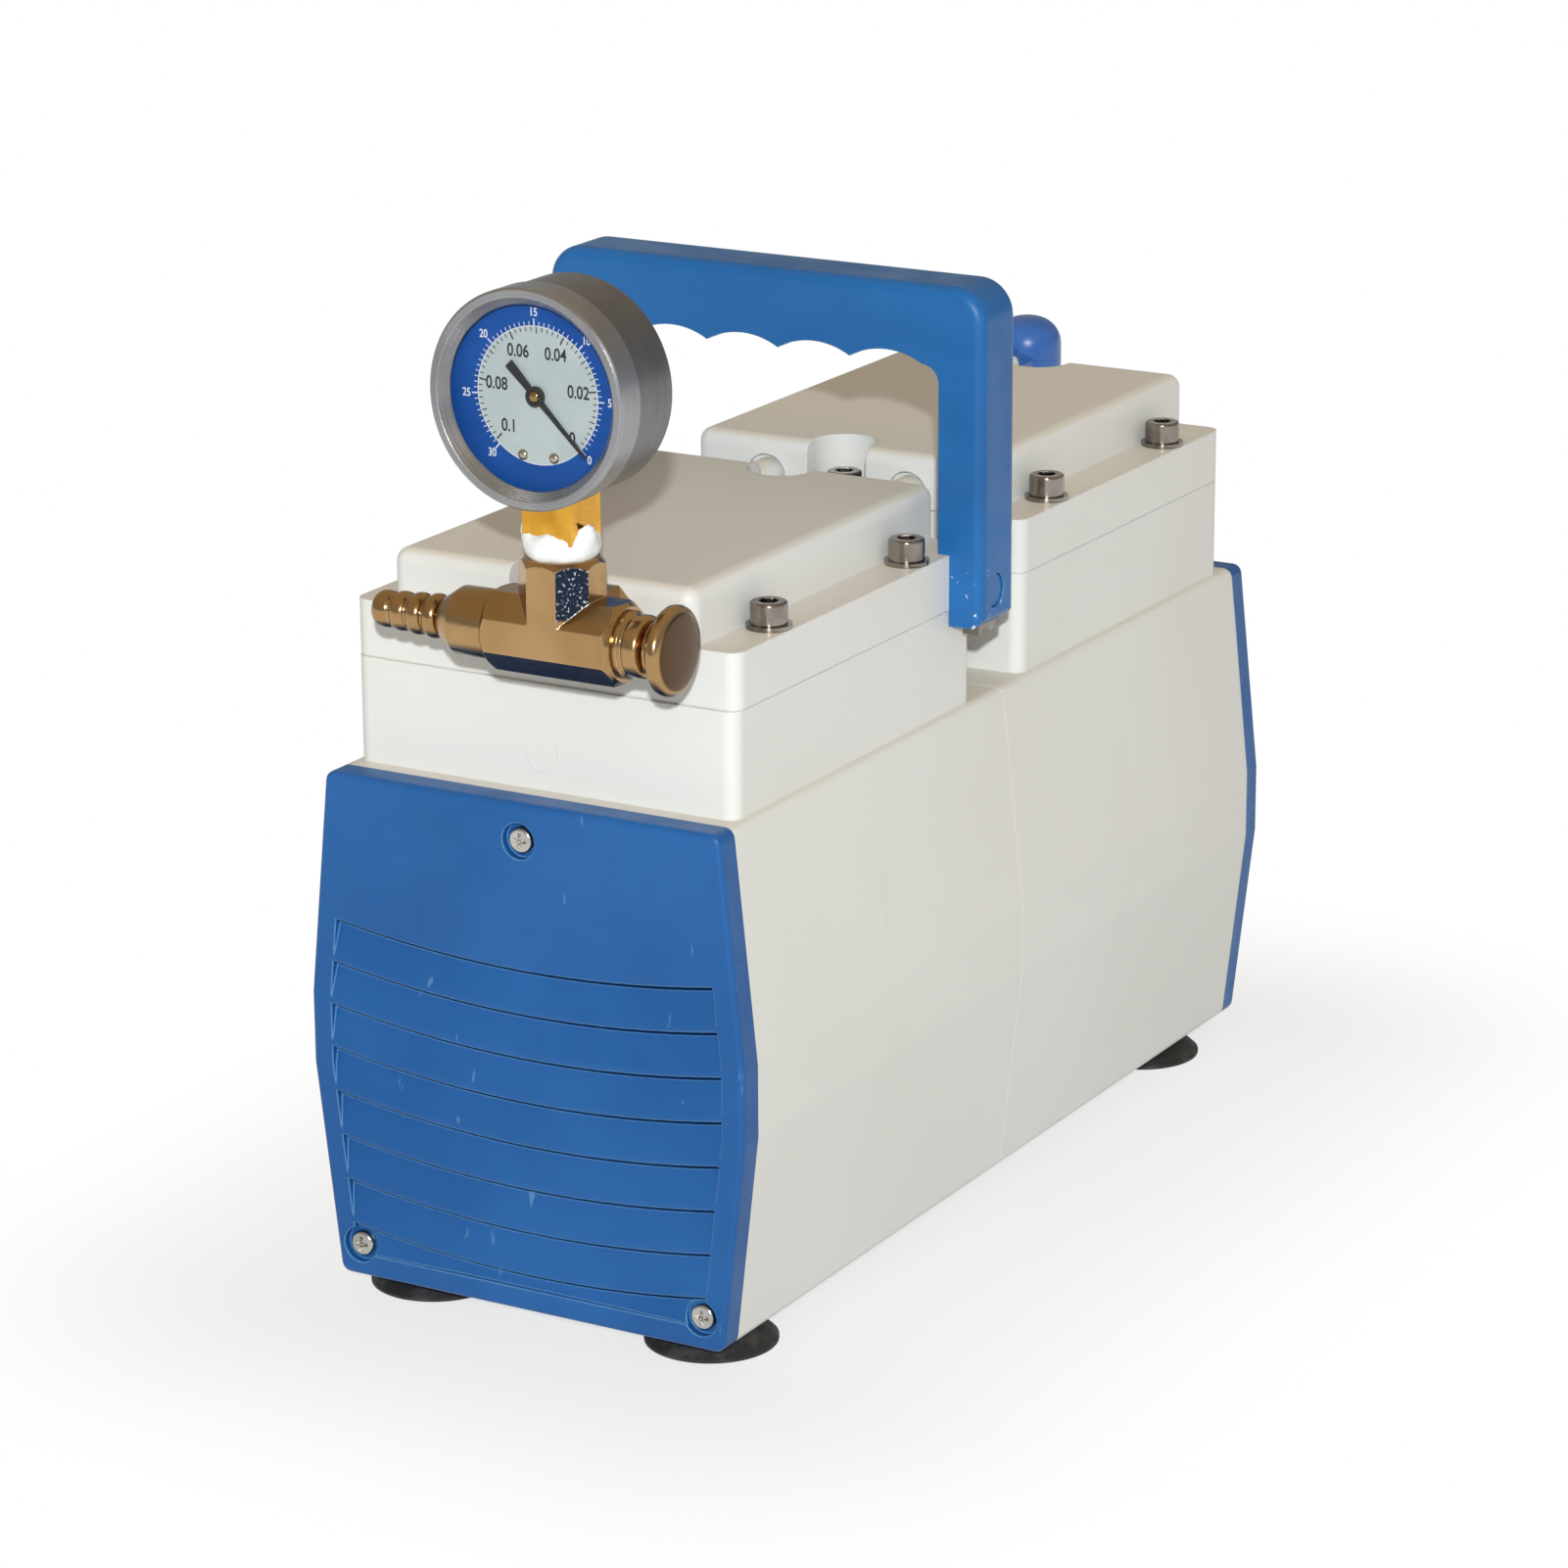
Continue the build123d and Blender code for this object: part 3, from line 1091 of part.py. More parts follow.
def silencer_body():
    """Silencer pot with a nipple screwed into the outlet of the rear head."""
    low = SILENCER_LOW
    split = SILENCER_TOP - SILENCER_CAP_H
    y = silencer_y()
    pot = turned_z([
        (0, low), (SILENCER_R - 1.5, low), (SILENCER_R, low + 1.5), (SILENCER_R, split),
        (SILENCER_R - SILENCER_WALL, split), (SILENCER_R - SILENCER_WALL, low + 2), (0, low + 2),
    ], -PORT_X, y)
    nut_l = y - COVER_OUT - SILENCER_R + SILENCER_WALL
    nipple = Pos(-PORT_X, COVER_OUT, PORT_Z) * Rot(-90, 0, 0) * polygon_bar(NIPPLE_AF, 6, nut_l)
    nipple += rod_y(PORT_R, COVER_OUT - PORT_DEPTH + 1, COVER_OUT, -PORT_X, PORT_Z)
    nipple -= rod_z(SILENCER_R - SILENCER_WALL / 2, low, split, -PORT_X, y)
    nipple -= rod_z(SILENCER_R + SEAT, split, split + SILENCER_CAP_H, -PORT_X, y)
    return pot + nipple - rod_y(PORT_R / 2, COVER_OUT - PORT_DEPTH, y, -PORT_X, PORT_Z)


def silencer_cap():
    """Domed cap, pushed on the pot."""
    split = SILENCER_TOP - SILENCER_CAP_H
    top = SILENCER_TOP
    y = silencer_y()
    dome_r = SILENCER_R * SILENCER_DOME
    cap = rod_z(SILENCER_R, split, top, -PORT_X, y)
    cap = fillet(cap.edges().group_by(Axis.Z)[-1], dome_r)
    return cap - rod_z(SILENCER_R - SILENCER_WALL, split - 1, split + SILENCER_WALL, -PORT_X, y)


# --- mains inlet and switch -----------------------------------------------------------------------
def rear_box(x, size, y0, y1, margin=0.0):
    half_w = size[0] / 2 + margin
    half_h = size[1] / 2 + margin
    z = POWER_Z
    return block(x - half_w, x + half_w, y0, y1, z - half_h, z + half_h)


def power_inlet():
    """Three-pin appliance inlet, open to the rear."""
    face = LENGTH / 2
    x = -POWER_X
    outer = face + INLET_BEZEL[2]
    body = rear_box(x, INLET_BODY, outer - INLET_BODY[2], face)
    body += rear_box(x, INLET_BEZEL, face, outer)
    body -= rear_box(x, INLET_CAVITY, outer - INLET_CAVITY[2], outer + 1)
    for pin in pin_blocks(2 * SEAT):
        body -= pin
    return body


def pin_blocks(gap=0.0):
    width, height, length = PIN_SIZE
    back = LENGTH / 2 + INLET_BEZEL[2] - INLET_CAVITY[2]
    z = POWER_Z
    pins = []
    for x, dz in ((-PIN_SPREAD, 1.0), (0, -3.0), (PIN_SPREAD, 1.0)):
        x -= POWER_X
        half_w = width / 2 + gap
        half_h = height / 2 + gap
        pins.append(block(x - half_w, x + half_w, back - 10, back + length, z + dz - half_h, z + dz + half_h))
    return pins


def switch_body():
    """Rocker switch housing with a window and two bearings for the rocker."""
    face = LENGTH / 2
    outer = face + SWITCH_BEZEL[2]
    window = (ROCKER_W + 2 * SOFT, 2 * (ROCKER_R + SOFT))
    body = rear_box(POWER_X, SWITCH_BODY, outer - SWITCH_BODY[2], face)
    body += rear_box(POWER_X, SWITCH_BEZEL, face, outer)
    body -= rear_box(POWER_X, window, outer - SWITCH_BODY[2] + 2, outer + 1)
    reach = ROCKER_W / 2 + TRUNNION_L + 0.2
    y, z = rocker_pivot()
    return body - rod_x(TRUNNION_R + RUN, POWER_X - reach, POWER_X + reach, y, z)


def rocker_pivot():
    return LENGTH / 2 + SWITCH_BEZEL[2] - PIVOT_SET, POWER_Z


def switch_rocker():
    """Rocker in its off position, its ends on a circle about the pivot."""
    flare = math.radians(ROCKER_FLARE)
    tip = (ROCKER_R * math.cos(flare), ROCKER_R * math.sin(flare))
    section = Plane.YZ * make_face(Polyline(
        tip, (tip[0] - 1.7, 0), (tip[0], -tip[1]), (-3, -6), (-3, 6), close=True,
    ))
    rocker = extrude(section, ROCKER_W / 2, both=True)
    reach = ROCKER_W / 2 + TRUNNION_L
    rocker += rod_x(TRUNNION_R, -reach, reach)
    y, z = rocker_pivot()
    return Pos(POWER_X, y, z) * Rot(-ROCKER_TILT, 0, 0) * rocker


# --- all nodes ------------------------------------------------------------------------------------
for name, end in SIDES.items():
    save(f"{name}_body", body_casting(end))
    save(f"{name}_panel", end_panel(end))
    save(f"{name}_head", head(end))
    save(f"{name}_diaphragm", diaphragm(end))
    save(f"{name}_rod", connecting_rod(end))
    save(f"{name}_rod_bearing_ring", crank_bearing(end)[1])
    save(f"{name}_clamp_discs", *clamp_discs(end))
    save(f"{name}_clamp_screw", clamp_screw(end))

bearings = [shaft_bearing(-1), shaft_bearing(1), crank_bearing(-1), crank_bearing(1)]
save("bearing_inner_rings", *[inner for inner, _, _ in bearings])
save("bearing_balls", *[ball for _, _, balls in bearings for ball in balls])
save("shaft_bearing_outer_rings", *[outer for _, outer, _ in bearings[:2]])
save("eccentrics", *[eccentric(end) for end in SIDES.values()])
save("eccentric_set_screws", *[set_screw_hole(end, SET_SCREW_R) for end in SIDES.values()])
save("cooling_fans", *[cooling_fan(end) for end in SIDES.values()])
save("fan_nuts", *[fan_nut(end) for end in SIDES.values()])
save("valve_plates", *[valve_plate(end) for end in SIDES.values()])
save("head_gaskets", *[head_gasket(end) for end in SIDES.values()])

save("panel_screws", *panel_screws())
save("tie_bolts", *tie_bolts())
save("head_screws", *head_screws())
save("head_washers", *head_washers())
save("valve_discs", *valve_discs())
save("transfer_tubes", *transfer_tubes())
save("motor_stator", stator())
save("motor_windings", windings())
save("motor_rotor", rotor_core())
save("motor_shaft", shaft())
save("run_capacitor", run_capacitor())
save("feet", *feet())
save("foot_screws", *foot_screws())
save("handle_grip", handle_grip())
save("handle_strap", handle_strap())
save("handle_screws", *handle_screws())
save("cross_fitting", cross_fitting())
save("hose_barb", hose_barb())
save("thread_tape", thread_tape())
save("valve_bonnet", valve_bonnet())
save("valve_needle", valve_needle())
save("valve_knob", valve_knob())
save("gauge_case", gauge_case())
save("gauge_stem", gauge_stem())
save("gauge_bezel", gauge_bezel())
save("gauge_glass", gauge_glass())
save("gauge_dial", gauge_dial())
save("gauge_pointer", gauge_pointer())
save("gauge_movement", gauge_movement())
save("silencer_body", silencer_body())
save("silencer_cap", silencer_cap())
save("power_inlet", power_inlet())
save("inlet_pins", *pin_blocks())
save("switch_body", switch_body())
save("switch_rocker", switch_rocker())
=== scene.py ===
# %% [markdown]
# # A bench diaphragm vacuum pump
# This lesson dresses a finished CAD model of a small laboratory vacuum pump. The shapes,
# joints and sizes come from the CAD file, and Blender adds what the eye reads as real:
# paint, plated brass, printed numbers, sealing tape, light and a camera.
# Every length in the frame is in metres, so millimetres are multiplied by MM.

# %% Load the frame
import math

import bmesh
import bpy
from mathutils import Matrix, Vector, noise


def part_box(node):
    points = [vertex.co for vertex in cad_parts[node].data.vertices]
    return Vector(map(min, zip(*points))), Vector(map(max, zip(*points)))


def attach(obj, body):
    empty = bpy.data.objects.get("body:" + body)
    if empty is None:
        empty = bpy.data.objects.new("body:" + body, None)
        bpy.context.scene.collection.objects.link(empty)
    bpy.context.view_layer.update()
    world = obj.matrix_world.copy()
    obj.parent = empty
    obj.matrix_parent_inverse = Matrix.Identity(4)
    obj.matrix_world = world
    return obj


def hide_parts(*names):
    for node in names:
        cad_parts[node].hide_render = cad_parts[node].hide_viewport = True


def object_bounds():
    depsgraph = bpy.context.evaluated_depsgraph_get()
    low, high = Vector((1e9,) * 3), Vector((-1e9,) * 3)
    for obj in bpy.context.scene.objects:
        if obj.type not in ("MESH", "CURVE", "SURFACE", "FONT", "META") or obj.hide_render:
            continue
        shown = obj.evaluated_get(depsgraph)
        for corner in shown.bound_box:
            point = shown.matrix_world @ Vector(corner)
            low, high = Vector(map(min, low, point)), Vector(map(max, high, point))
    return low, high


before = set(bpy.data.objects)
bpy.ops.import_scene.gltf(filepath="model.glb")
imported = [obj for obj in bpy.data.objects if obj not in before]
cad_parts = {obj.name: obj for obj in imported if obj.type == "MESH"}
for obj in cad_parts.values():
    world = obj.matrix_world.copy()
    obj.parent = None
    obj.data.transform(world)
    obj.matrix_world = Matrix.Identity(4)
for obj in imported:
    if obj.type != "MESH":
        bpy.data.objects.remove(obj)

MM = 0.001


def size_mm(low, high):
    """The three sides of a box, in millimetres."""
    return [round((b - a) / MM, 1) for a, b in zip(low, high)]


cad_low, cad_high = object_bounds()
print("pump, mm:", size_mm(cad_low, cad_high))

# %% [markdown]
# ## The camera
# A product shot of a long box looks calm when the lens is long: the far end stays almost
# as large as the near one. A 123 mm lens from about 1.6 m does that. The angles are given as
# a turn round the pump, a pitch down and a very small roll, and a matrix is built from
# them, because three separate Euler angles are easy to apply in the wrong order.

# %% Place the camera
CAMERA_PLACE = Vector((0.72606, -1.28213, 0.56244))
CAMERA_TURN, CAMERA_PITCH, CAMERA_ROLL = 0.521207, 0.296148, -0.005794
CAMERA_LENS, SENSOR_WIDTH = 123.04, 36.0
NEAREST, FARTHEST = 0.05, 50


def camera_axes(turn, pitch, roll):
    """Columns of a camera that looks level along +Y, then turns, pitches down and rolls."""
    ahead = Vector((-math.sin(turn) * math.cos(pitch),
                    math.cos(turn) * math.cos(pitch),
                    -math.sin(pitch)))
    right = Vector((math.cos(turn), math.sin(turn), 0))
    up = right.cross(ahead)
    rolled_right = right * math.cos(roll) + up * math.sin(roll)
    rolled_up = up * math.cos(roll) - right * math.sin(roll)
    return Matrix((rolled_right, rolled_up, -ahead)).transposed()


camera = bpy.data.objects.new("camera", bpy.data.cameras.new("camera"))
camera.data.lens = CAMERA_LENS
camera.data.sensor_width = SENSOR_WIDTH
camera.data.clip_start = NEAREST
camera.data.clip_end = FARTHEST
axes = camera_axes(CAMERA_TURN, CAMERA_PITCH, CAMERA_ROLL).to_4x4()
camera.matrix_world = Matrix.Translation(CAMERA_PLACE) @ axes
bpy.context.scene.collection.objects.link(camera)
bpy.context.scene.camera = camera
print("camera", round(CAMERA_PLACE.length, 2), "m from the floor point under the pump")

# %% [markdown]
# ## Writing shaders as sums
# A material is a graph, and most of it is arithmetic on masks. Wiring each Math node by
# hand hides the idea, so a small class wraps an output socket and lets Python's own
# operators add the nodes. `height + seam * 2.0` then reads as it would on paper.

# %% A socket that does arithmetic
class Value:
    """One output of a node. Operators on it add Math nodes to the same material."""

    def __init__(self, finish, socket):
        self.finish = finish
        self.socket = socket

    def math(self, operation, *others):
        sockets = dict(enumerate((self, *others)))
        return self.finish.add("ShaderNodeMath", {"operation": operation}, sockets)

    def __add__(self, other):
        return self.math("ADD", other)

    def __sub__(self, other):
        return self.math("SUBTRACT", other)

    def __mul__(self, other):
        return self.math("MULTIPLY", other)

    def __truediv__(self, other):
        return self.math("DIVIDE", other)

    def __pow__(self, other):
        return self.math("POWER", other)

    def __abs__(self):
        return self.math("ABSOLUTE")

    def most(self, other):
        return self.math("MAXIMUM", other)

    def ramp(self, low, high, low_value=0.0, high_value=1.0):
        """Smoothly from low_value at low to high_value at high, and flat outside."""
        sockets = {"Value": self, 1: low, 2: high, 3: low_value, 4: high_value}
        return self.finish.add("ShaderNodeMapRange", {"interpolation_type": "SMOOTHSTEP"}, sockets)

    def near(self, centre, reach):
        """1 on the value centre, falling smoothly to 0 at reach on either side."""
        return abs(self - centre).ramp(0.0, reach, 1.0, 0.0)


print("a Value has:", ", ".join(name for name in vars(Value) if not name.startswith("__")))

# %% [markdown]
# ## A finish is a material being built
# Real surfaces have three scales at once: the tone over the whole piece, a grain of about a
# millimetre, and edges, partly worn and partly given a painted highlight. `add` makes any
# node. The other methods are the few things every finish here needs: where the point is, a
# noise, a colour mix, and how sharp the edge under the point is. The edge mask compares the
# true normal with the one a small bevel would have, so edges can be painted lighter, as wear
# and as a painted highlight, without touching the mesh.

# %% The finish class
MIX_FACTOR, MIX_FIRST, MIX_SECOND, MIX_RESULT = 0, 6, 7, 2    # sockets of a colour Mix node
BEVEL_SAMPLES = 4
EDGE_SHARP, EDGE_FLAT = 0.80, 0.99    # how well the bevelled normal agrees with the true one


class Finish:
    """A node material. Its last step is surface(), which makes the shader."""

    def __init__(self, name):
        self.material = bpy.data.materials.new(name)
        self.material.use_nodes = True
        self.tree = self.material.node_tree
        self.tree.nodes.clear()
        self.place = self.add("ShaderNodeTexCoord", out="Object")
        self.rounded = None

    def add(self, kind, settings=None, sockets=None, out=0):
        node = self.tree.nodes.new(kind)
        for key, value in (settings or {}).items():
            setattr(node, key, value)
        for key, value in (sockets or {}).items():
            if isinstance(value, Value):
                self.tree.links.new(value.socket, node.inputs[key])
            else:
                node.inputs[key].default_value = value
        return Value(self, node.outputs[out])

    def axis(self, letter):
        """The point's place along one axis of the pump."""
        return self.add("ShaderNodeSeparateXYZ", sockets={0: self.place}, out="XYZ".index(letter))

    def facing(self, letter):
        """The normal's part along one axis."""
        normal = self.add("ShaderNodeNewGeometry", out="Normal")
        return self.add("ShaderNodeSeparateXYZ", sockets={0: normal}, out="XYZ".index(letter))

    def noise(self, per_metre, detail=3.0, stretch=None):
        vector = self.place
        if stretch:
            vector = self.add("ShaderNodeVectorMath", {"operation": "MULTIPLY"}, {0: vector, 1: stretch})
        sockets = {"Vector": vector, "Scale": per_metre, "Detail": detail}
        return self.add("ShaderNodeTexNoise", {"noise_dimensions": "3D"}, sockets)

    def mix(self, mask, low, high):
        """The colour low where the mask is 0, and high where it is 1."""
        colours = [c if isinstance(c, Value) else (*c, 1.0) for c in (low, high)]
        sockets = {MIX_FACTOR: mask, MIX_FIRST: colours[0], MIX_SECOND: colours[1]}
        return self.add("ShaderNodeMix", {"data_type": "RGBA"}, sockets, out=MIX_RESULT)

    def round_edges(self, radius):
        self.rounded = self.add("ShaderNodeBevel", {"samples": BEVEL_SAMPLES}, {"Radius": radius})

    def edge(self):
        """0 on open faces and towards 1 on edges, once round_edges has been called."""
        normal = self.add("ShaderNodeNewGeometry", out="Normal")
        sockets = {0: self.rounded, 1: normal}
        dot = self.add("ShaderNodeVectorMath", {"operation": "DOT_PRODUCT"}, sockets, out=1)
        return dot.ramp(EDGE_SHARP, EDGE_FLAT, 1.0, 0.0)

    def surface(self, colour, roughness, height=None, depth=0.0, metal=0.0, **fixed):
        """The shader. height is 0 to 1 and depth its size in metres. fixed are plain sockets."""
        sockets = {"Base Color": colour if isinstance(colour, Value) else (*colour, 1.0),
                   "Roughness": roughness, "Metallic": metal}
        sockets |= {key.replace("_", " "): value for key, value in fixed.items()}
        if height is not None:
            bump = {"Height": height, "Distance": depth, "Strength": 1.0}
            if self.rounded:
                bump["Normal"] = self.rounded
            sockets["Normal"] = self.add("ShaderNodeBump", None, bump)
        elif self.rounded:
            sockets["Normal"] = self.rounded
        self.shader = self.add("ShaderNodeBsdfPrincipled", None, sockets)
        self.output = self.tree.nodes.new("ShaderNodeOutputMaterial")
        self.tree.links.new(self.shader.socket, self.output.inputs[0])
        return self.material


print("a Finish has:", ", ".join(name for name in vars(Finish) if not name.startswith("__")))

# %% [markdown]
# ## Colours and pieces
# Colours are easier to judge as the 0 to 255 numbers of a screen, while shaders want linear
# light, so `srgb` turns one into the other. `dress` gives CAD pieces a finish. Lighter and
# darker versions of a colour come from `brighter`, which never passes full white.

# %% Colours and dressing
SCREEN_WHITE = 255
STRAIGHT_BELOW = 10    # the screen curve is a straight line under this


def srgb(red, green, blue):
    """A colour as 0 to 255 screen numbers, turned into the linear values shaders use."""
    def linear(c):
        if c < STRAIGHT_BELOW:
            return c / SCREEN_WHITE / 12.92
        return ((c / SCREEN_WHITE + 0.055) / 1.055) ** 2.4

    return tuple(linear(c) for c in (red, green, blue))


def brighter(colour, times, plus=0.0):
    return tuple(min(1.0, c * times + plus) for c in colour)


def dress(material, *names):
    """Gives these CAD nodes the material."""
    for name in names:
        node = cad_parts[name]
        node.data.materials.clear()
        node.data.materials.append(material)
    print(material.name, "on", len(names), "nodes")


print("mid grey is", [round(c, 3) for c in srgb(128, 128, 128)])

# %% [markdown]
# ## Cast housing, painted off-white
# The housing is cast aluminium in two halves, painted off-white. Casting leaves a fine
# orange peel under the paint, a raised line where the halves meet, painted lighter as a
# highlight, and a small round mark from the tool on the neck. The paint is a little
# yellower on the level tops, from settled dust and from painted warm shade, and lighter
# along its edges, from wear and from a painted highlight.

# %% Housing paint
HOUSING = srgb(224, 226, 224)
HOUSING_TOP_DUST_AND_SHADE = srgb(218, 214, 205)
HOUSING_CLOUD = srgb(200, 198, 190)
HOUSING_EDGE_WEAR_AND_HIGHLIGHT = srgb(244, 244, 240)
SEAM_HIGHLIGHT = srgb(246, 246, 243)
SEAM_HALF = 0.75 * MM
CREASE_FROM, CREASE_TO = 74 * MM, 78 * MM       # a soft rise towards the ends
NECK_FACE = -144.7 * MM
MARK_HEIGHT, MARK_RADIUS, MARK_LINE = 160 * MM, 5 * MM, 0.5 * MM
body_low, body_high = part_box("front_body")
print("front half of the housing, mm:", size_mm(body_low, body_high))


def housing_paint(name, with_seam):
    paint = Finish(name)
    paint.round_edges(0.9 * MM)
    x, y, z = (paint.axis(letter) for letter in "XYZ")
    peel = paint.noise(420, 2.0)
    broad = paint.noise(9, 3.0)
    # Level tops are painted yellower: settled dust and painted warm shade.
    dust = paint.facing("Z").ramp(0.6, 0.95)
    colour = paint.mix(dust, HOUSING, HOUSING_TOP_DUST_AND_SHADE)
    colour = paint.mix(broad.ramp(0.35, 0.7) * 0.10, colour, HOUSING_CLOUD)
    # Edges are painted lighter: wear and a painted highlight.
    colour = paint.mix(paint.edge() * 0.45, colour, HOUSING_EDGE_WEAR_AND_HIGHLIGHT)
    height = peel * 0.35 + paint.noise(90, 2.0) * 0.65
    if with_seam:
        seam = y.near(0.0, SEAM_HALF)
        # The seam is painted lighter as a highlight; its raised rib is the bump below.
        colour = paint.mix(seam * 0.9, colour, SEAM_HIGHLIGHT)
        height = height + seam * 2.0
        crease = abs(y).ramp(CREASE_FROM, CREASE_TO)
        height = height + crease * 1.6
        reach = (x ** 2.0 + (z - MARK_HEIGHT) ** 2.0).math("SQRT")
        on_face = (y - NECK_FACE).near(0.0, MARK_LINE)
        height = height + reach.near(MARK_RADIUS, MARK_LINE) * on_face * 1.2
    roughness = broad.ramp(0.3, 0.7, 0.42, 0.55)
    return paint.surface(colour, roughness, height, 0.05 * MM, Coat_Weight=0.12, Coat_Roughness=0.3)


dress(housing_paint("housing_paint", True), "front_body", "rear_body")
dress(housing_paint("head_paint", False), "front_head", "rear_head", "transfer_tubes")

# %% [markdown]
# ## Blue end panels
# Each end is closed by a blue powder-coated panel with a field of louvres. Powder coat is
# smooth from afar but has a soft texture close up, a painted highlight line along its
# edges, and scuffs to a paler blue. A faint step runs across the panel over the louvres.

# %% Panel paint
PANEL_DEEP, PANEL_PALE = srgb(24, 84, 148), srgb(32, 94, 160)
PANEL_EDGE_HIGHLIGHT, PANEL_SCUFF = srgb(120, 178, 226), srgb(150, 190, 225)
STEP_HEIGHT, STEP_HALF = 115 * MM, 0.8 * MM
panel_low, panel_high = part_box("front_panel")
print("front panel, mm:", size_mm(panel_low, panel_high))


def panel_paint():
    paint = Finish("panel_paint")
    paint.round_edges(0.8 * MM)
    z = paint.axis("Z")
    cloud = paint.noise(22, 4.0)
    colour = paint.mix(cloud.ramp(0.3, 0.75), PANEL_DEEP, PANEL_PALE)
    # A painted highlight line along the edges.
    colour = paint.mix(paint.edge() * 0.75, colour, PANEL_EDGE_HIGHLIGHT)
    scuff = paint.noise(260, 3.0, (1.0, 1.0, 0.25)).ramp(0.69, 0.75)
    colour = paint.mix(scuff * 0.25, colour, PANEL_SCUFF)
    step = z.near(STEP_HEIGHT, STEP_HALF)
    height = paint.noise(700, 2.0) * 0.5 + cloud * 0.4 + step * 1.5
    roughness = paint.noise(60, 3.0).ramp(0.3, 0.7, 0.34, 0.46)
    return paint.surface(colour, roughness, height, 0.04 * MM, Specular_IOR_Level=0.3)


dress(panel_paint(), "front_panel", "rear_panel")

# %% [markdown]
# ## Moulded handle
# The handle is a thick blue plastic moulding over a steel strap. Moulded plastic is
# glossier than powder coat, with faint flow marks along its length, and it collects small
# white scuffs where it rubs on the heads.

# %% Handle plastic
GRIP_DEEP, GRIP_PALE = srgb(26, 92, 156), srgb(34, 104, 170)
GRIP_EDGE_HIGHLIGHT, GRIP_SCUFF = srgb(116, 180, 228), srgb(214, 226, 236)
SCUFFS_END, SCUFFS_FULL = 196 * MM, 176 * MM    # heights between which the scuffs fade in
grip_low, grip_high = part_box("handle_grip")
print("grip, mm:", size_mm(grip_low, grip_high))


def grip_plastic():
    plastic = Finish("grip_plastic")
    plastic.round_edges(0.7 * MM)
    flow = plastic.noise(30, 4.0, (0.4, 1.0, 1.0))
    colour = plastic.mix(flow.ramp(0.3, 0.7), GRIP_DEEP, GRIP_PALE)
    # A painted highlight line along the edges.
    colour = plastic.mix(plastic.edge() * 0.6, colour, GRIP_EDGE_HIGHLIGHT)
    low = plastic.axis("Z").ramp(SCUFFS_END, SCUFFS_FULL)
    scuff = plastic.noise(380, 3.0).ramp(0.66, 0.70) * low
    colour = plastic.mix(scuff * 0.8, colour, GRIP_SCUFF)
    roughness = plastic.noise(80, 2.0).ramp(0.3, 0.7, 0.28, 0.40)
    height = plastic.noise(500, 2.0)
    return plastic.surface(colour, roughness, height, 0.02 * MM, Specular_IOR_Level=0.28)


dress(grip_plastic(), "handle_grip", "handle_screws")

# %% [markdown]
# ## Metals
# Clean nickel, turned brass, bright steel and cast aluminium differ in colour and in how
# they were cut. One builder covers them: a base colour that shifts a little, a roughness
# with fine streaks along the tool's path, and edges painted slightly brighter as a highlight.

# %% Metal builder
METAL_EDGE = 0.35 * MM


def metal(name, colour, dull, roughness, streak=(1.0, 1.0, 1.0), depth=0.006):
    plate = Finish(name)
    plate.round_edges(METAL_EDGE)
    tone = plate.noise(70, 4.0)
    grain = plate.noise(300, 3.0, streak)
    shade = plate.mix(tone.ramp(0.35, 0.75), colour, dull)
    # Edges are painted brighter as a highlight.
    shade = plate.mix(plate.edge() * 0.4, shade, brighter(colour, 1.25))
    rough = grain.ramp(0.3, 0.7, roughness * 0.7, roughness * 1.3)
    return plate.surface(shade, rough, grain, depth * MM, metal=1.0)


bright_nickel = metal("bright_nickel", srgb(214, 206, 190), srgb(190, 178, 158), 0.2)
brass = metal("turned_brass", srgb(232, 178, 70), srgb(196, 138, 44), 0.22, (1.0, 1.0, 6.0))
steel = metal("bright_steel", srgb(196, 194, 188), srgb(150, 148, 142), 0.22)
dark_steel = metal("dark_steel", srgb(158, 150, 142), srgb(92, 84, 78), 0.2)
ground_steel = metal("ground_steel", srgb(170, 170, 168), srgb(120, 120, 120), 0.3)
cast_aluminium = metal("cast_aluminium", srgb(186, 187, 188), srgb(150, 150, 150), 0.45, depth=0.05)
core_iron = metal("core_iron", srgb(104, 104, 106), srgb(66, 64, 62), 0.5, (1.0, 12.0, 1.0), 0.05)
dress(bright_nickel, "valve_knob", "inlet_pins")
dress(brass, "gauge_stem", "gauge_movement")
dress(dark_steel, "head_screws", "head_washers", "handle_strap")
dress(steel, "panel_screws", "foot_screws", "tie_bolts", "fan_nuts", "eccentric_set_screws",
      "front_clamp_screw", "rear_clamp_screw", "valve_needle")
dress(ground_steel, "motor_shaft", "shaft_bearing_outer_rings", "bearing_inner_rings",
      "bearing_balls", "front_rod_bearing_ring", "rear_rod_bearing_ring")
dress(cast_aluminium, "valve_plates", "run_capacitor", "front_rod", "rear_rod",
      "front_clamp_discs", "rear_clamp_discs")
dress(core_iron, "motor_stator", "motor_rotor", "eccentrics")

# %% [markdown]
# ## Tarnished nickel
# The inlet fittings are nickel plate on brass that has seen years of hands and oil. It has
# gone bronze where it wore, its underside is painted nearly black as a dark reflection, and
# its edges are painted pale, from polish and as a painted highlight. One slanting facet of the
# cross carries a speckled painted reflection, and the face of the valve knob is brown.

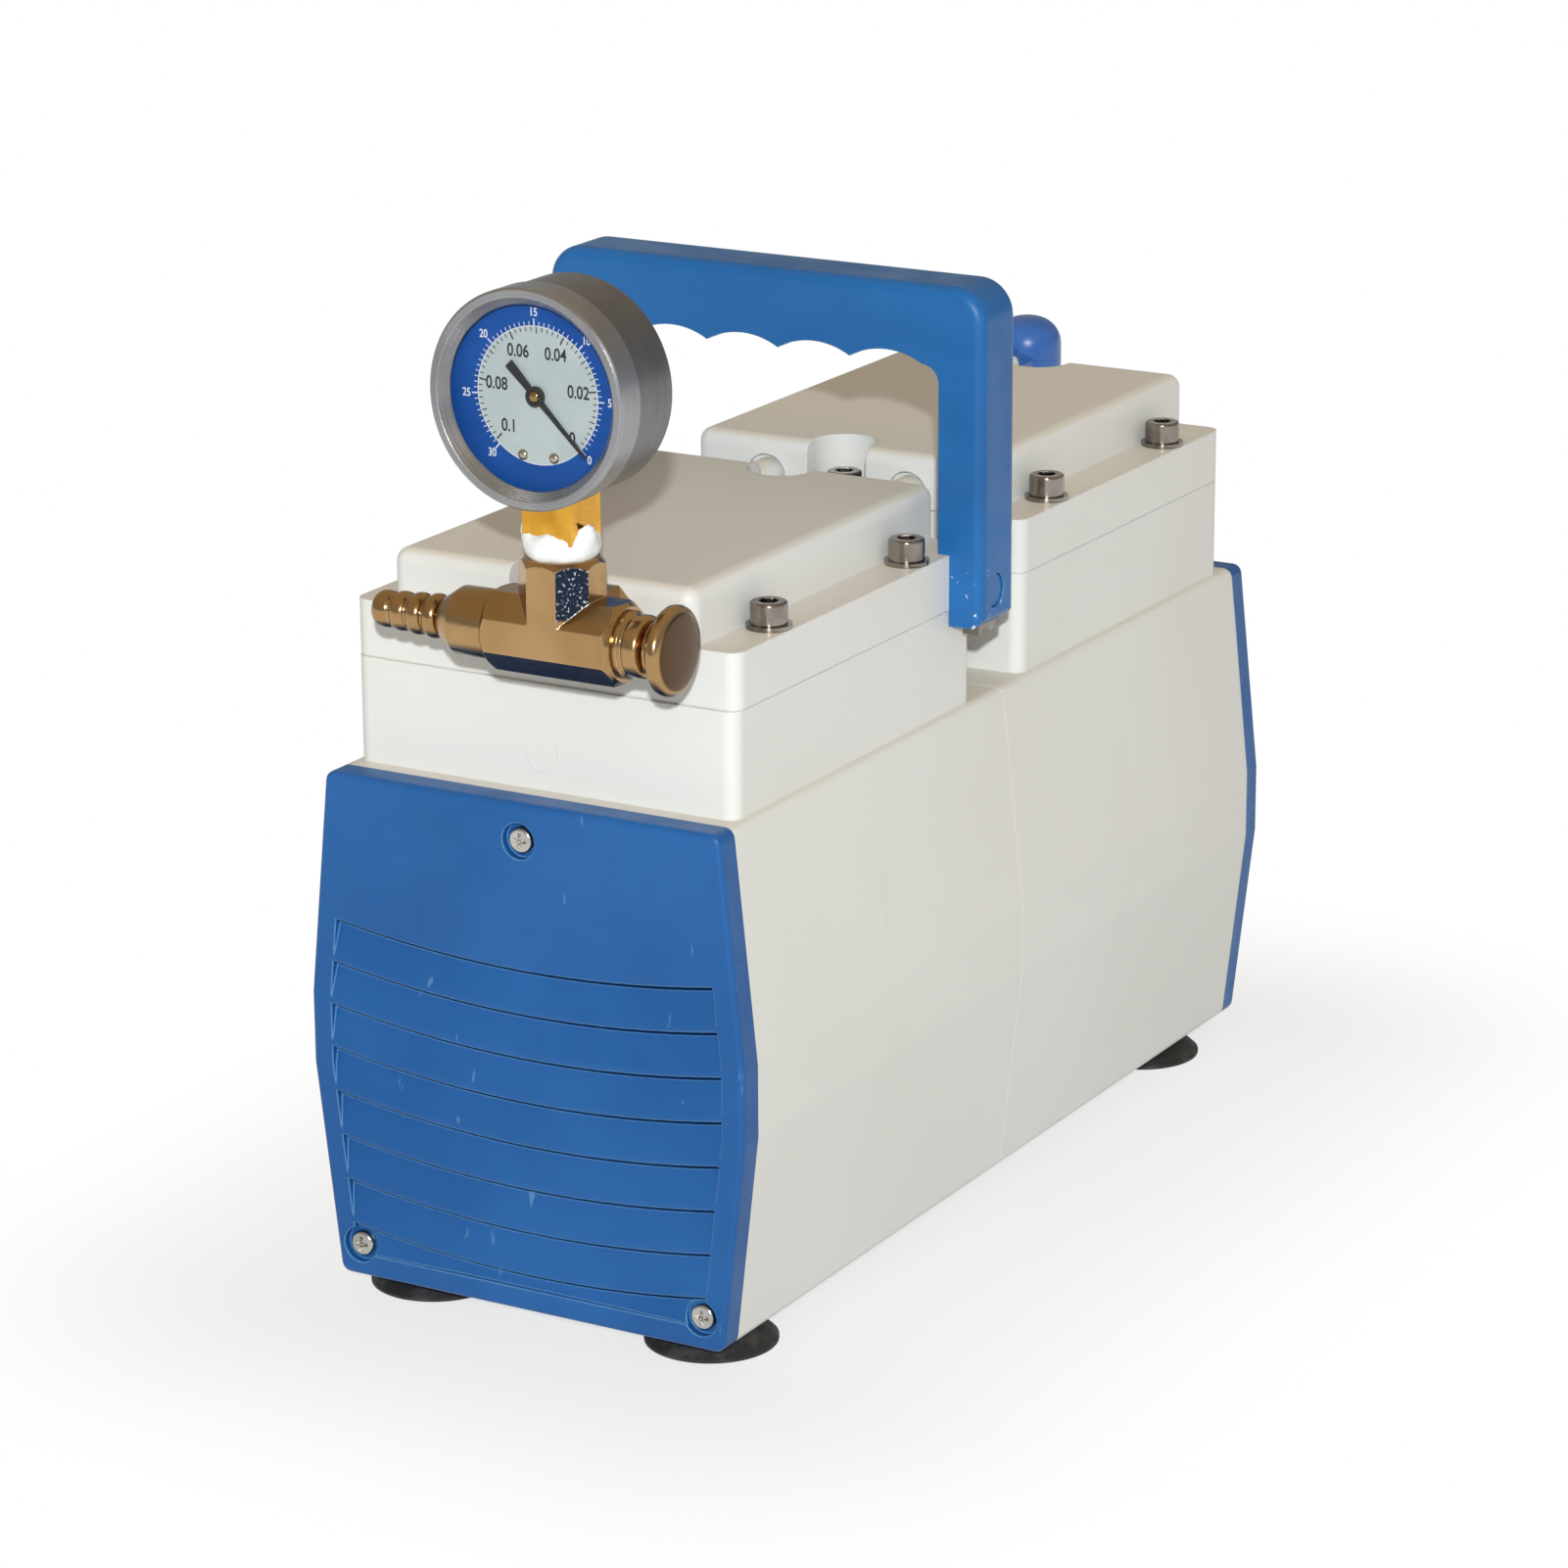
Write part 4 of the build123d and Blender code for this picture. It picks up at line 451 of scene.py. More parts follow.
# %% Tarnished nickel
BRONZE, BRONZE_DULL, WORN_EDGE_AND_HIGHLIGHT = srgb(184, 150, 104), srgb(166, 132, 88), srgb(244, 226, 196)
DARK_REFLECTION_BELOW, KNOB_BROWN = srgb(34, 38, 48), srgb(60, 42, 34)
REFLECTION_SPECK_DARK, REFLECTION_SPECK_PALE = srgb(40, 48, 66), srgb(200, 204, 212)
KNOB_FACE_IN, KNOB_FACE_OUT = 9.6 * MM, 10.6 * MM
FACET_LOW, FACET_HIGH = 206 * MM, 207 * MM
SLANT = 0.707    # a normal halfway between two axes
cross_low, cross_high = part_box("cross_fitting")
knob_low, knob_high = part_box("valve_knob")
VALVE_Y = (knob_low.y + knob_high.y) / 2
VALVE_Z = (knob_low.z + knob_high.z) / 2
print("valve axis, mm:", round(VALVE_Y / MM, 2), round(VALVE_Z / MM, 2))


def tarnished_nickel(name, knob_face=False):
    plate = Finish(name)
    plate.round_edges(METAL_EDGE)
    x, y, z = (plate.axis(letter) for letter in "XYZ")
    grain = plate.noise(300, 3.0)
    shade = plate.mix(plate.noise(40, 2.0).ramp(0.3, 0.7), BRONZE, BRONZE_DULL)
    # Down-facing faces are painted nearly black: a painted dark reflection.
    painted_reflection_below = plate.facing("Z").ramp(-0.35, -0.65)
    shade = plate.mix(painted_reflection_below * 0.92, shade, DARK_REFLECTION_BELOW)
    if knob_face:
        from_axis = ((y - VALVE_Y) * (y - VALVE_Y) + (z - VALVE_Z) * (z - VALVE_Z)).math("SQRT")
        inside = from_axis.ramp(KNOB_FACE_IN, KNOB_FACE_OUT, 1.0, 0.0)
        face = plate.facing("X").ramp(0.72, 0.9) * inside
        shade = plate.mix(face * 0.85, shade, KNOB_BROWN)
    else:
        # One slanting facet gets a speckled painted reflection.
        reflecting_facet = plate.facing("X").near(SLANT, 0.25) * plate.facing("Y").near(-SLANT, 0.25)
        reflecting_facet = reflecting_facet * z.ramp(FACET_LOW, FACET_HIGH)
        reflection_specks = plate.noise(1300, 2.0).ramp(0.60, 0.66)
        shade = plate.mix(reflecting_facet, shade, plate.mix(reflection_specks, REFLECTION_SPECK_DARK, REFLECTION_SPECK_PALE))
    # Edges are painted pale: polish wear and a painted highlight.
    shade = plate.mix(plate.edge() * 0.7, shade, WORN_EDGE_AND_HIGHLIGHT)
    return plate.surface(shade, grain.ramp(0.3, 0.7, 0.14, 0.24), grain, 0.004 * MM, metal=1.0)


nickel = tarnished_nickel("nickel_plate")
dress(nickel, "cross_fitting", "hose_barb", "valve_bonnet")

# %% [markdown]
# ## Gauge case and bezel
# The gauge case is a drawn steel cup, grey, and its bezel a turned ring with a lathe
# finish. Fine rings round the gauge axis come from a noise read against the distance to
# that axis, so the streaks follow the turning.

# %% Turned grey metal
case_low, case_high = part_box("gauge_bezel")
gauge_x = (case_low.x + case_high.x) / 2
gauge_z = (case_low.z + case_high.z) / 2
print("gauge centre, mm:", round(gauge_x / MM, 2), round(gauge_z / MM, 2))


def from_gauge_axis(finish):
    """Distance to the gauge's axis, and the point's x and z from it."""
    x = finish.axis("X") - gauge_x
    z = finish.axis("Z") - gauge_z
    return (x * x + z * z).math("SQRT"), x, z


def turned(name, colour, dull, roughness):
    ring = Finish(name)
    ring.round_edges(0.5 * MM)
    radius, _, _ = from_gauge_axis(ring)
    along = ring.axis("Y")
    lathe = ring.add("ShaderNodeCombineXYZ", None, {0: radius * 9.0, 1: along * 9.0, 2: 0.0})
    rings = ring.add("ShaderNodeTexNoise", None, {"Vector": lathe, "Scale": 400.0, "Detail": 3.0})
    tone = ring.noise(35, 3.0)
    shade = ring.mix(tone.ramp(0.3, 0.7), colour, dull)
    # Edges are painted near white as a highlight.
    shade = ring.mix(ring.edge() * 0.5, shade, srgb(232, 232, 232))
    rough = rings.ramp(0.3, 0.7, roughness * 0.75, roughness * 1.3)
    return ring.surface(shade, rough, rings, 0.008 * MM, metal=0.9)


dress(turned("turned_bezel", srgb(158, 158, 160), srgb(136, 136, 138), 0.30), "gauge_bezel")
dress(turned("drawn_case", srgb(128, 128, 130), srgb(108, 108, 110), 0.36), "gauge_case")

# %% [markdown]
# ## The dial
# The dial is printed tin: a pale centre, a blue band round it, white ticks on the band and
# black ticks inside it. Ticks repeat with angle, so they are a fraction of the angle about
# the centre. The scale starts at the lower right and runs anticlockwise through 270 degrees.
# That whole turn is 0.1 on the inner scale and 29.53 on the outer one.

# %% Dial print
RING_IN, SCALE_TURN = 17.7, 270.0
ZERO_AT = -45.0
OUTER_FULL = 29.53                    # what the outer scale reads after the whole turn
OUTER_LAST, OUTER_STEP = 30, 5        # its last number, and the step between numbers
PAPER, PAPER_DULL = srgb(196, 209, 212), srgb(186, 200, 204)
BAND_DEEP, BAND_PALE = srgb(8, 76, 160), srgb(14, 84, 170)
BAND_LINE, TICK_BLACK, TICK_WHITE = srgb(232, 240, 244), srgb(24, 26, 30), srgb(236, 242, 250)
SOFT_LINE = 0.05                      # mm over which a tick's end fades


def dial_print():
    dial = Finish("dial_print")
    radius, x, z = from_gauge_axis(dial)
    radius = radius / MM
    turn = z.math("ARCTAN2", x) * (180 / math.pi) - ZERO_AT
    turn = turn.math("MODULO", 360.0)
    turn = (turn + 360.0).math("MODULO", 360.0)
    on_scale = turn.ramp(-0.5, 0.0) * turn.ramp(SCALE_TURN + 0.6, SCALE_TURN + 1.2, 1.0, 0.0)

    def ticks(step, half_width, low, high):
        """Lines every step degrees, half_width mm to each side, between two radii in mm."""
        off = abs((turn / step + 0.5).math("FRACT") - 0.5) * step
        across = off * radius * (math.pi / 180)
        line = across.ramp(half_width * 0.7, half_width, 1.0, 0.0)
        outside_low = radius.ramp(low - SOFT_LINE, low + SOFT_LINE)
        inside_high = radius.ramp(high - SOFT_LINE, high + SOFT_LINE, 1.0, 0.0)
        return line * (outside_low * inside_high)

    small = ticks(SCALE_TURN / 50, 0.18, 16.4, 17.5)
    middle = ticks(SCALE_TURN / 10, 0.20, 15.9, 17.5)
    large = ticks(SCALE_TURN / 5, 0.28, 15.3, 17.5)
    black = small.most(middle).most(large) * on_scale
    fine = ticks(SCALE_TURN / (2 * OUTER_FULL), 0.13, 17.9, 18.9)
    five = ticks(SCALE_TURN * OUTER_STEP / OUTER_FULL, 0.22, 17.9, 19.6)
    last = SCALE_TURN * OUTER_LAST / OUTER_FULL
    white = fine.most(five) * turn.ramp(last + 0.5, last + 1.0, 1.0, 0.0)
    ring = radius.ramp(RING_IN, RING_IN + 0.12)
    pale = dial.mix(dial.noise(60, 3.0).ramp(0.3, 0.7), PAPER, PAPER_DULL)
    blue = dial.mix(dial.noise(60, 3.0).ramp(0.3, 0.7), BAND_DEEP, BAND_PALE)
    colour = dial.mix(ring, pale, blue)
    colour = dial.mix(radius.near(RING_IN, 0.22), colour, BAND_LINE)
    colour = dial.mix(black * 0.9, colour, TICK_BLACK)
    colour = dial.mix(white * 0.9, colour, TICK_WHITE)
    rough = dial.noise(200, 2.0).ramp(0.3, 0.7, 0.36, 0.46)
    return dial.surface(colour, rough, dial.noise(900, 2.0), 0.006 * MM, Specular_IOR_Level=0.15)


dress(dial_print(), "gauge_dial")

# %% [markdown]
# ## Numbers on the dial
# Numbers are real type, so they are text objects turned into a very thin mesh that lies on
# the dial. All numbers of one ink become one piece, which keeps the list of pieces short.

# %% Helpers for new pieces
dial_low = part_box("gauge_dial")[0]
PRINT_LIFT = 0.03 * MM
NARROW = 0.82        # the dial's type is a little narrow
FACE_FRONT = Matrix.Rotation(math.pi / 2, 4, "X")
print("dial face at y, mm:", round(dial_low.y / MM, 2))


def number_mesh(text, height, angle, radius, target):
    """Adds one number, centred at that angle and radius on the dial, to a bmesh."""
    curve = bpy.data.curves.new("number", "FONT")
    curve.body = text
    curve.size = height
    curve.align_x, curve.align_y = "CENTER", "CENTER"
    curve.offset = height * 0.018
    holder = bpy.data.objects.new("number", curve)
    bpy.context.scene.collection.objects.link(holder)
    bpy.context.view_layer.update()
    flat = holder.evaluated_get(bpy.context.evaluated_depsgraph_get())
    mesh = bpy.data.meshes.new_from_object(flat)
    a = math.radians(angle)
    x, z = gauge_x + radius * math.cos(a), gauge_z + radius * math.sin(a)
    place = Matrix.Translation(Vector((x, dial_low.y - PRINT_LIFT, z)))
    mesh.transform(place @ FACE_FRONT @ Matrix.Diagonal((NARROW, 1, 1, 1)))
    target.from_mesh(mesh)
    bpy.data.objects.remove(holder)


def piece(name, mesh, body, material, smooth=True):
    """A finished mesh as an object that rides on a body."""
    obj = bpy.data.objects.new(name, mesh)
    bpy.context.scene.collection.objects.link(obj)
    obj.data.materials.append(material)
    for face in obj.data.polygons:
        face.use_smooth = smooth
    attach(obj, body)
    print(name, "on", body, "with", len(mesh.polygons), "faces")
    return obj


def mesh_of(bm, name):
    mesh = bpy.data.meshes.new(name)
    bm.to_mesh(mesh)
    bm.free()
    return mesh

# %% [markdown]
# The inner numbers are black and large, the outer ones white and small. Zero stands a
# little further out than its neighbours, because the scale's foot is free there.

# %% Print the numbers
INNER_NUMBERS = ("0", "0.02", "0.04", "0.06", "0.08", "0.1")
INNER_HEIGHT, INNER_RADIUS, ZERO_RADIUS = 4.6, 12.2, 14.2
OUTER_HEIGHT, OUTER_RADIUS = 3.0, 21.2
OUTER_NUMBERS = 7


def printing_ink(name, colour):
    ink = Finish(name)
    patch = ink.noise(900, 2.0).ramp(0.3, 0.7)
    shade = ink.mix(patch * 0.3, colour, brighter(colour, 1.4, 0.01))
    return ink.surface(shade, patch.ramp(0.0, 1.0, 0.4, 0.55))


def print_numbers(bm, name, ink):
    piece(name, mesh_of(bm, name), "pump", ink, False)


inner = bmesh.new()
for step, text in enumerate(INNER_NUMBERS):
    radius = ZERO_RADIUS if step == 0 else INNER_RADIUS
    number_mesh(text, INNER_HEIGHT * MM, ZERO_AT + step * SCALE_TURN / 5, radius * MM, inner)
print_numbers(inner, "dial_numbers_black", printing_ink("black_ink", srgb(26, 28, 32)))

outer = bmesh.new()
for step in range(OUTER_NUMBERS):
    angle = ZERO_AT + step * SCALE_TURN * OUTER_STEP / OUTER_FULL
    number_mesh(str(step * OUTER_STEP), OUTER_HEIGHT * MM, angle, OUTER_RADIUS * MM, outer)
print_numbers(outer, "dial_numbers_white", printing_ink("white_ink", srgb(230, 238, 248)))

# %% [markdown]
# ## Glass and pointer
# The gauge window is thin clear glass. A real transmission shader darkens a small window
# in a few bounces, so the glass is mostly transparent with a clear gloss. The pointer is
# stamped and painted black.

# %% Glass and pointer
GLASS_DARK, GLASS_SMEAR = (0.02, 0.02, 0.02), (0.05, 0.05, 0.05)
GLASS_ALPHA = 0.07


def window_glass():
    glass = Finish("window_glass")
    smear = glass.noise(30, 3.0).ramp(0.3, 0.7)
    colour = glass.mix(smear, GLASS_DARK, GLASS_SMEAR)
    material = glass.surface(colour, smear.ramp(0.0, 1.0, 0.03, 0.08), Alpha=GLASS_ALPHA)
    material.surface_render_method = "BLENDED"
    return material


def black_enamel(name, rough):
    enamel = Finish(name)
    enamel.round_edges(0.15 * MM)
    grain = enamel.noise(500, 3.0)
    colour = enamel.mix(grain.ramp(0.35, 0.7), srgb(20, 20, 22), srgb(34, 34, 36))
    # Edges are painted grey as a highlight.
    colour = enamel.mix(enamel.edge() * 0.3, colour, srgb(80, 80, 82))
    return enamel.surface(colour, grain.ramp(0.3, 0.7, rough * 0.8, rough * 1.2), grain, 0.01 * MM)


dress(window_glass(), "gauge_glass")
dress(black_enamel("pointer_enamel", 0.4), "gauge_pointer")

# %% [markdown]
# ## Small turned parts of the gauge
# A turned part is a profile, a list of radius and height, swept round an axis. Two small
# nickel screws hold the dial near its foot, and a domed hub carries the pointer.

# %% Screws and hub
SCREW_PROFILE = [(0, -0.9), (0.5, -0.86), (1.0, -0.68), (1.35, -0.35), (1.45, 0.0)]
SCREW_SIDE, SCREW_DROP = 4.6, 15.6
HUB_PROFILE = [(0, 0.75), (0.6, 0.70), (1.1, 0.50), (1.5, 0.15), (1.6, -0.1), (1.6, -0.4)]
pointer_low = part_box("gauge_pointer")[0]


def ring_of(bm, radius, height, axis_matrix, steps):
    """The points of one ring of a turned part, or the single point on its axis."""
    if radius < 1e-7:
        return [bm.verts.new(axis_matrix @ Vector((0, 0, height)))]
    ring = []
    for i in range(steps):
        a = math.tau * i / steps
        point = Vector((radius * math.cos(a), radius * math.sin(a), height))
        ring.append(bm.verts.new(axis_matrix @ point))
    return ring


def skin(bm, rings, steps):
    """Faces between each ring and the next."""
    for low, high in zip(rings, rings[1:]):
        for i in range(steps):
            j = (i + 1) % steps
            if len(low) == 1:
                bm.faces.new((low[0], high[j], high[i]))
            elif len(high) == 1:
                bm.faces.new((low[i], low[j], high[0]))
            else:
                bm.faces.new((low[i], low[j], high[j], high[i]))


def lathe(bm, profile, axis_matrix, steps=32):
    """Turns (radius, height) points about Z, then places the result with a matrix."""
    rings = [ring_of(bm, radius, height, axis_matrix, steps) for radius, height in profile]
    skin(bm, rings, steps)


screws = bmesh.new()
for side in (-1, 1):
    centre = (gauge_x + side * SCREW_SIDE * MM, dial_low.y, gauge_z - SCREW_DROP * MM)
    spot = Matrix.Translation(centre) @ FACE_FRONT
    lathe(screws, [(r * MM, -h * MM) for r, h in SCREW_PROFILE], spot)
bmesh.ops.recalc_face_normals(screws, faces=screws.faces)
piece("dial_screws", mesh_of(screws, "dial_screws"), "pump", bright_nickel)

hub = bmesh.new()
spot = Matrix.Translation((gauge_x, pointer_low.y, gauge_z)) @ FACE_FRONT
lathe(hub, [(r * MM, h * MM) for r, h in HUB_PROFILE], spot)
bmesh.ops.recalc_face_normals(hub, faces=hub.faces)
piece("pointer_hub", mesh_of(hub, "pointer_hub"), "pointer", nickel)

# %% [markdown]
# ## Turned fittings
# The hose barb, the valve's bonnet, its knob and its needle came off a lathe, so each is a
# profile turned about the fitting's axis, with the beads rounded as the tool leaves them.
# Profiles are pairs of place along the axis and radius, in millimetres.

# %% The barb
VALVE_X = cross_high.x
ALONG_X = Matrix.Translation((0, VALVE_Y, VALVE_Z)) @ Matrix.Rotation(math.pi / 2, 4, "Y")
TURNED_STEPS, SHARP_OVER = 64, 38    # points round a fitting, and degrees kept as an edge
BEADS, BEAD_PITCH, BEAD_HALF, BEAD_STEPS = 4, 5.1, 2.2, 8
BEAD_FIRST, BEAD_CREST, BEAD_TAPER, BARB_CORE = 18.8, 6.0, 0.33, 4.3


def turned_piece(name, profile, body, material, node):
    """A lathe piece along X, shown instead of a CAD node."""
    bm = bmesh.new()
    lathe(bm, [(radius * MM, x * MM) for x, radius in profile], ALONG_X, TURNED_STEPS)
    bmesh.ops.recalc_face_normals(bm, faces=bm.faces)
    obj = piece(name, mesh_of(bm, name), body, material)
    obj.data.set_sharp_from_angle(angle=math.radians(SHARP_OVER))
    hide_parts(node)


barb_root = cross_low.x / MM
collar = [(barb_root, 0), (barb_root, 9.0), (barb_root - 0.5, 9.2), (barb_root - 10.4, 9.2),
          (barb_root - 10.9, 9.0)]
barb = collar + [(barb_root - 16.0, 5.6), (barb_root - 16.2, BARB_CORE)]
for index in range(BEADS):
    middle = barb_root - BEAD_FIRST - index * BEAD_PITCH
    crest = BEAD_CREST - index * BEAD_TAPER
    for step in range(BEAD_STEPS + 1):
        a = math.pi * step / BEAD_STEPS
        radius = BARB_CORE + (crest - BARB_CORE) * math.sin(a)
        barb.append((middle + BEAD_HALF * math.cos(a), radius))
barb += [(barb_root - 36.6, 4.2), (barb_root - 36.9, 3.9), (barb_root - 36.9, 2.4),
         (barb_root - 33.0, 2.3), (barb_root - 33.0, 0)]
turned_piece("turned_barb", barb, "pump", nickel, "hose_barb")

# %% [markdown]
# The bonnet is screwed into the cross and stays. The knob turns in front of it, and the
# needle slides through both, so each of the three rides on its own body.

# %% The bonnet, knob and needle
bonnet_root = VALVE_X / MM
BONNET = [(0, 0), (0, 8.9), (1.4, 8.9), (1.7, 8.5), (2.2, 8.0), (2.9, 8.3), (5.6, 8.3),
          (6.4, 8.0), (6.9, 7.3), (6.9, 0)]
KNOB = [(7.8, 0), (7.8, 6.9), (8.3, 7.6), (9.4, 7.8), (10.2, 8.6), (10.9, 10.2), (11.5, 11.3),
        (12.2, 11.8), (13.4, 11.9), (14.2, 11.6), (14.7, 11.0), (15.1, 10.2), (15.4, 8.6),
        (15.7, 6.0), (15.85, 3.0), (15.9, 0)]
NEEDLE_TAIL = [(12.6, 2.5), (13.0, 2.1), (13.0, 0)]
NEEDLE_TIP = [(0, 0), (3.0, 1.6), (3.4, 2.5)]


def from_root(root, profile):
    return [(root + x, radius) for x, radius in profile]


knob_nickel = tarnished_nickel("knob_nickel", True)
needle_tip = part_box("valve_needle")[0].x / MM
needle = from_root(needle_tip, NEEDLE_TIP) + from_root(bonnet_root, NEEDLE_TAIL)
turned_piece("turned_bonnet", from_root(bonnet_root, BONNET), "pump", nickel, "valve_bonnet")
turned_piece("turned_knob", from_root(bonnet_root, KNOB), "bleed_knob", knob_nickel, "valve_knob")
turned_piece("turned_needle", needle, "bleed_needle", steel, "valve_needle")

# %% [markdown]
# ## Sealing tape
# White tape is wound round the gauge's thread before it is screwed in. It squeezes out
# above the fitting as a soft ragged collar with torn ends. The collar is a lathe whose
# radius and height wander with a smooth noise, and the torn ends are lumps added to it.

# %% Wind the tape
TAPE_STEPS, TAPE_ROWS = 96, 14
TORN_ENDS = ((-2.55, 0.30, 0.8), (-0.15, 0.30, 1.1), (1.9, 0.4, 0.4))    # angle, width, size
TORN_OUT, TORN_UP, LIP_IN, RISE = 2.0 * MM, 2.6, 1.6 * MM, 2.4 * MM
tape_low, tape_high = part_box("thread_tape")
tape_centre = (tape_low + tape_high) / 2
tape_radius = (tape_high.x - tape_low.x) / 2


def torn_at(a):
    """How much torn tape stands out at this angle."""
    return sum(math.exp(-((math.remainder(a - at, math.tau)) / width) ** 2) * size
               for at, width, size in TORN_ENDS)


def tape_point(a, t, on_lip):
    """A point of the collar at angle a, t of the way up."""
    about = Vector((math.cos(a), math.sin(a), 0))
    wander = noise.noise(about * 2.3 + Vector((0, 0, t * 1.5)))
    ripple = noise.noise(about * 9 + Vector((3, 1, t * 5)))
    torn = torn_at(a)
    swell = math.sin(math.pi * min(1, t * 1.15)) ** 0.6
    radius = tape_radius * (1.14 + 0.16 * swell + 0.05 * wander + 0.025 * ripple)
    radius += torn * t ** 2 * TORN_OUT
    if on_lip:
        radius -= LIP_IN
    height = tape_low.z + (tape_high.z - tape_low.z + RISE) * t
    height += t * (torn * TORN_UP + 0.7 * wander + 0.3 * ripple) * MM
    return tape_centre.x + radius * math.cos(a), tape_centre.y + radius * math.sin(a), height


def tape_collar():
    bm = bmesh.new()
    rings = []
    for row in range(TAPE_ROWS + 1):
        angles = [math.tau * i / TAPE_STEPS for i in range(TAPE_STEPS)]
        points = [tape_point(a, row / TAPE_ROWS, row == TAPE_ROWS) for a in angles]
        rings.append([bm.verts.new(point) for point in points])
    skin(bm, rings, TAPE_STEPS)
    return mesh_of(bm, "tape_collar")


def tape_white():
    tape = Finish("tape_white")
    grain = tape.noise(1200, 3.0, (1.0, 1.0, 3.0))
    colour = tape.mix(grain.ramp(0.3, 0.7), srgb(238, 238, 236), srgb(250, 250, 250))
    rough = grain.ramp(0.3, 0.7, 0.45, 0.6)
    return tape.surface(colour, rough, grain, 0.12 * MM, Subsurface_Weight=0.15)


tape = piece("tape_collar", tape_collar(), "pump", tape_white())
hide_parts("thread_tape")

# %% [markdown]
# ## Plastics, rubber and copper
# The silencer is a mid-blue moulding with a soft grain. The feet are black rubber suction
# cups, dull and a little dusty. The mains inlet, the switch and the fans inside
# are black plastic with a fine spark-eroded texture. The windings are enamelled copper.

# %% Plastics, rubber and copper
SILENCER_DEEP, SILENCER_PALE = srgb(40, 90, 166), srgb(54, 106, 182)
DUST = srgb(150, 146, 140)


def plastic(name, dark, light, rough, per_metre, depth, dust=0.0):
    stuff = Finish(name)
    stuff.round_edges(0.4 * MM)
    grain = stuff.noise(per_metre, 3.0)
    colour = stuff.mix(stuff.noise(50, 3.0).ramp(0.3, 0.7), dark, light)
    if dust:
        powder = stuff.noise(160, 4.0).ramp(0.45, 0.75) * dust
        colour = stuff.mix(powder, colour, DUST)
    # Edges are painted paler as a highlight.
    colour = stuff.mix(stuff.edge() * 0.25, colour, brighter(light, 2.0, 0.02))
    return stuff.surface(colour, grain.ramp(0.3, 0.7, rough * 0.85, rough * 1.2), grain, depth * MM)


silencer = plastic("silencer_plastic", SILENCER_DEEP, SILENCER_PALE, 0.3, 300, 0.02)
rubber = plastic("black_rubber", srgb(26, 26, 27), srgb(38, 38, 39), 0.6, 500, 0.04, 0.12)
moulding = plastic("black_moulding", srgb(22, 22, 23), srgb(30, 30, 31), 0.45, 1100, 0.03, 0.04)
copper = metal("enamelled_copper", srgb(176, 98, 50), srgb(130, 66, 34), 0.3, (1.0, 14.0, 1.0), 0.08)
dress(silencer, "silencer_body", "silencer_cap")
dress(rubber, "feet", "head_gaskets", "valve_discs", "front_diaphragm", "rear_diaphragm")
dress(moulding, "power_inlet", "switch_body", "switch_rocker", "cooling_fans")
dress(copper, "motor_windings")

# %% [markdown]
# ## Floor
# The pump stands on a plain pale floor that melts into a white page. It keeps a little of
# its own shading close to the pump and less further out. To rays from the camera, and to
# those that a gloss or the glass sends on, most of it is simply white.

# %% Floor
FLOOR_DARK, FLOOR_PALE = (0.66, 0.66, 0.67), (0.69, 0.69, 0.70)
HALF_WIDTH, HALF_LENGTH = 60 * MM, 150 * MM     # the pump's own footprint
FADE_FROM, FADE_TO = 0.01, 0.14                 # metres beyond it
WHITE_NEAR = 0.7                                # how white the floor is beside the pump
FLOOR_HALF = 12.0
WHITE = (1.0, 1.0, 1.0, 1.0)
SEEN_BY = ("Is Camera Ray", "Is Glossy Ray", "Is Transmission Ray")


def floor_material():
    floor = Finish("pale_floor")
    mottle = floor.noise(6, 4.0)
    x, y = floor.axis("X"), floor.axis("Y")
    beside, along = (abs(x) - HALF_WIDTH).most(0.0), (abs(y) - HALF_LENGTH).most(0.0)
    away = (beside * beside + along * along).math("SQRT").ramp(FADE_FROM, FADE_TO)
    camera_ray, glossy_ray, glass_ray = [floor.add("ShaderNodeLightPath", out=ray) for ray in SEEN_BY]
    colour = floor.mix(mottle.ramp(0.3, 0.7), FLOOR_DARK, FLOOR_PALE)
    rough = mottle.ramp(0.3, 0.7, 0.75, 0.85)
    glow = {"Emission_Color": (0.02, 0.02, 0.02, 1.0), "Emission_Strength": 1.0}
    floor.surface(colour, rough, floor.noise(200, 2.0), 0.01 * MM, **glow)
    page = floor.add("ShaderNodeEmission", None, {"Color": WHITE, "Strength": 1.0})
    shown = camera_ray.most(glossy_ray).most(glass_ray)
    share = (away * (1 - WHITE_NEAR) + WHITE_NEAR) * shown
    both = floor.add("ShaderNodeMixShader", None, {0: share, 1: floor.shader, 2: page})
    floor.tree.links.new(both.socket, floor.output.inputs[0])
    return floor.material


floor_bm = bmesh.new()
bmesh.ops.create_grid(floor_bm, x_segments=8, y_segments=8, size=FLOOR_HALF)
floor = bpy.data.objects.new("floor", mesh_of(floor_bm, "floor"))
floor.data.materials.append(floor_material())
bpy.context.scene.collection.objects.link(floor)
print("floor", 2 * FLOOR_HALF, "m wide")

# %% [markdown]
# ## One small lamp
# A small lamp, low and to the right of the pump's front, throws the fairly crisp shadows of
# the gauge and the handle on the heads. Its direction is given as seen from the pump.

# %% Lamp
KEY_AZIMUTH, KEY_ELEVATION = 30, 21    # degrees, from straight in front and from the floor
KEY_DISTANCE, KEY_SIZE, KEY_POWER = 2.4, 0.07, 43
KEY_COLOUR = (0.97, 0.99, 1.0)


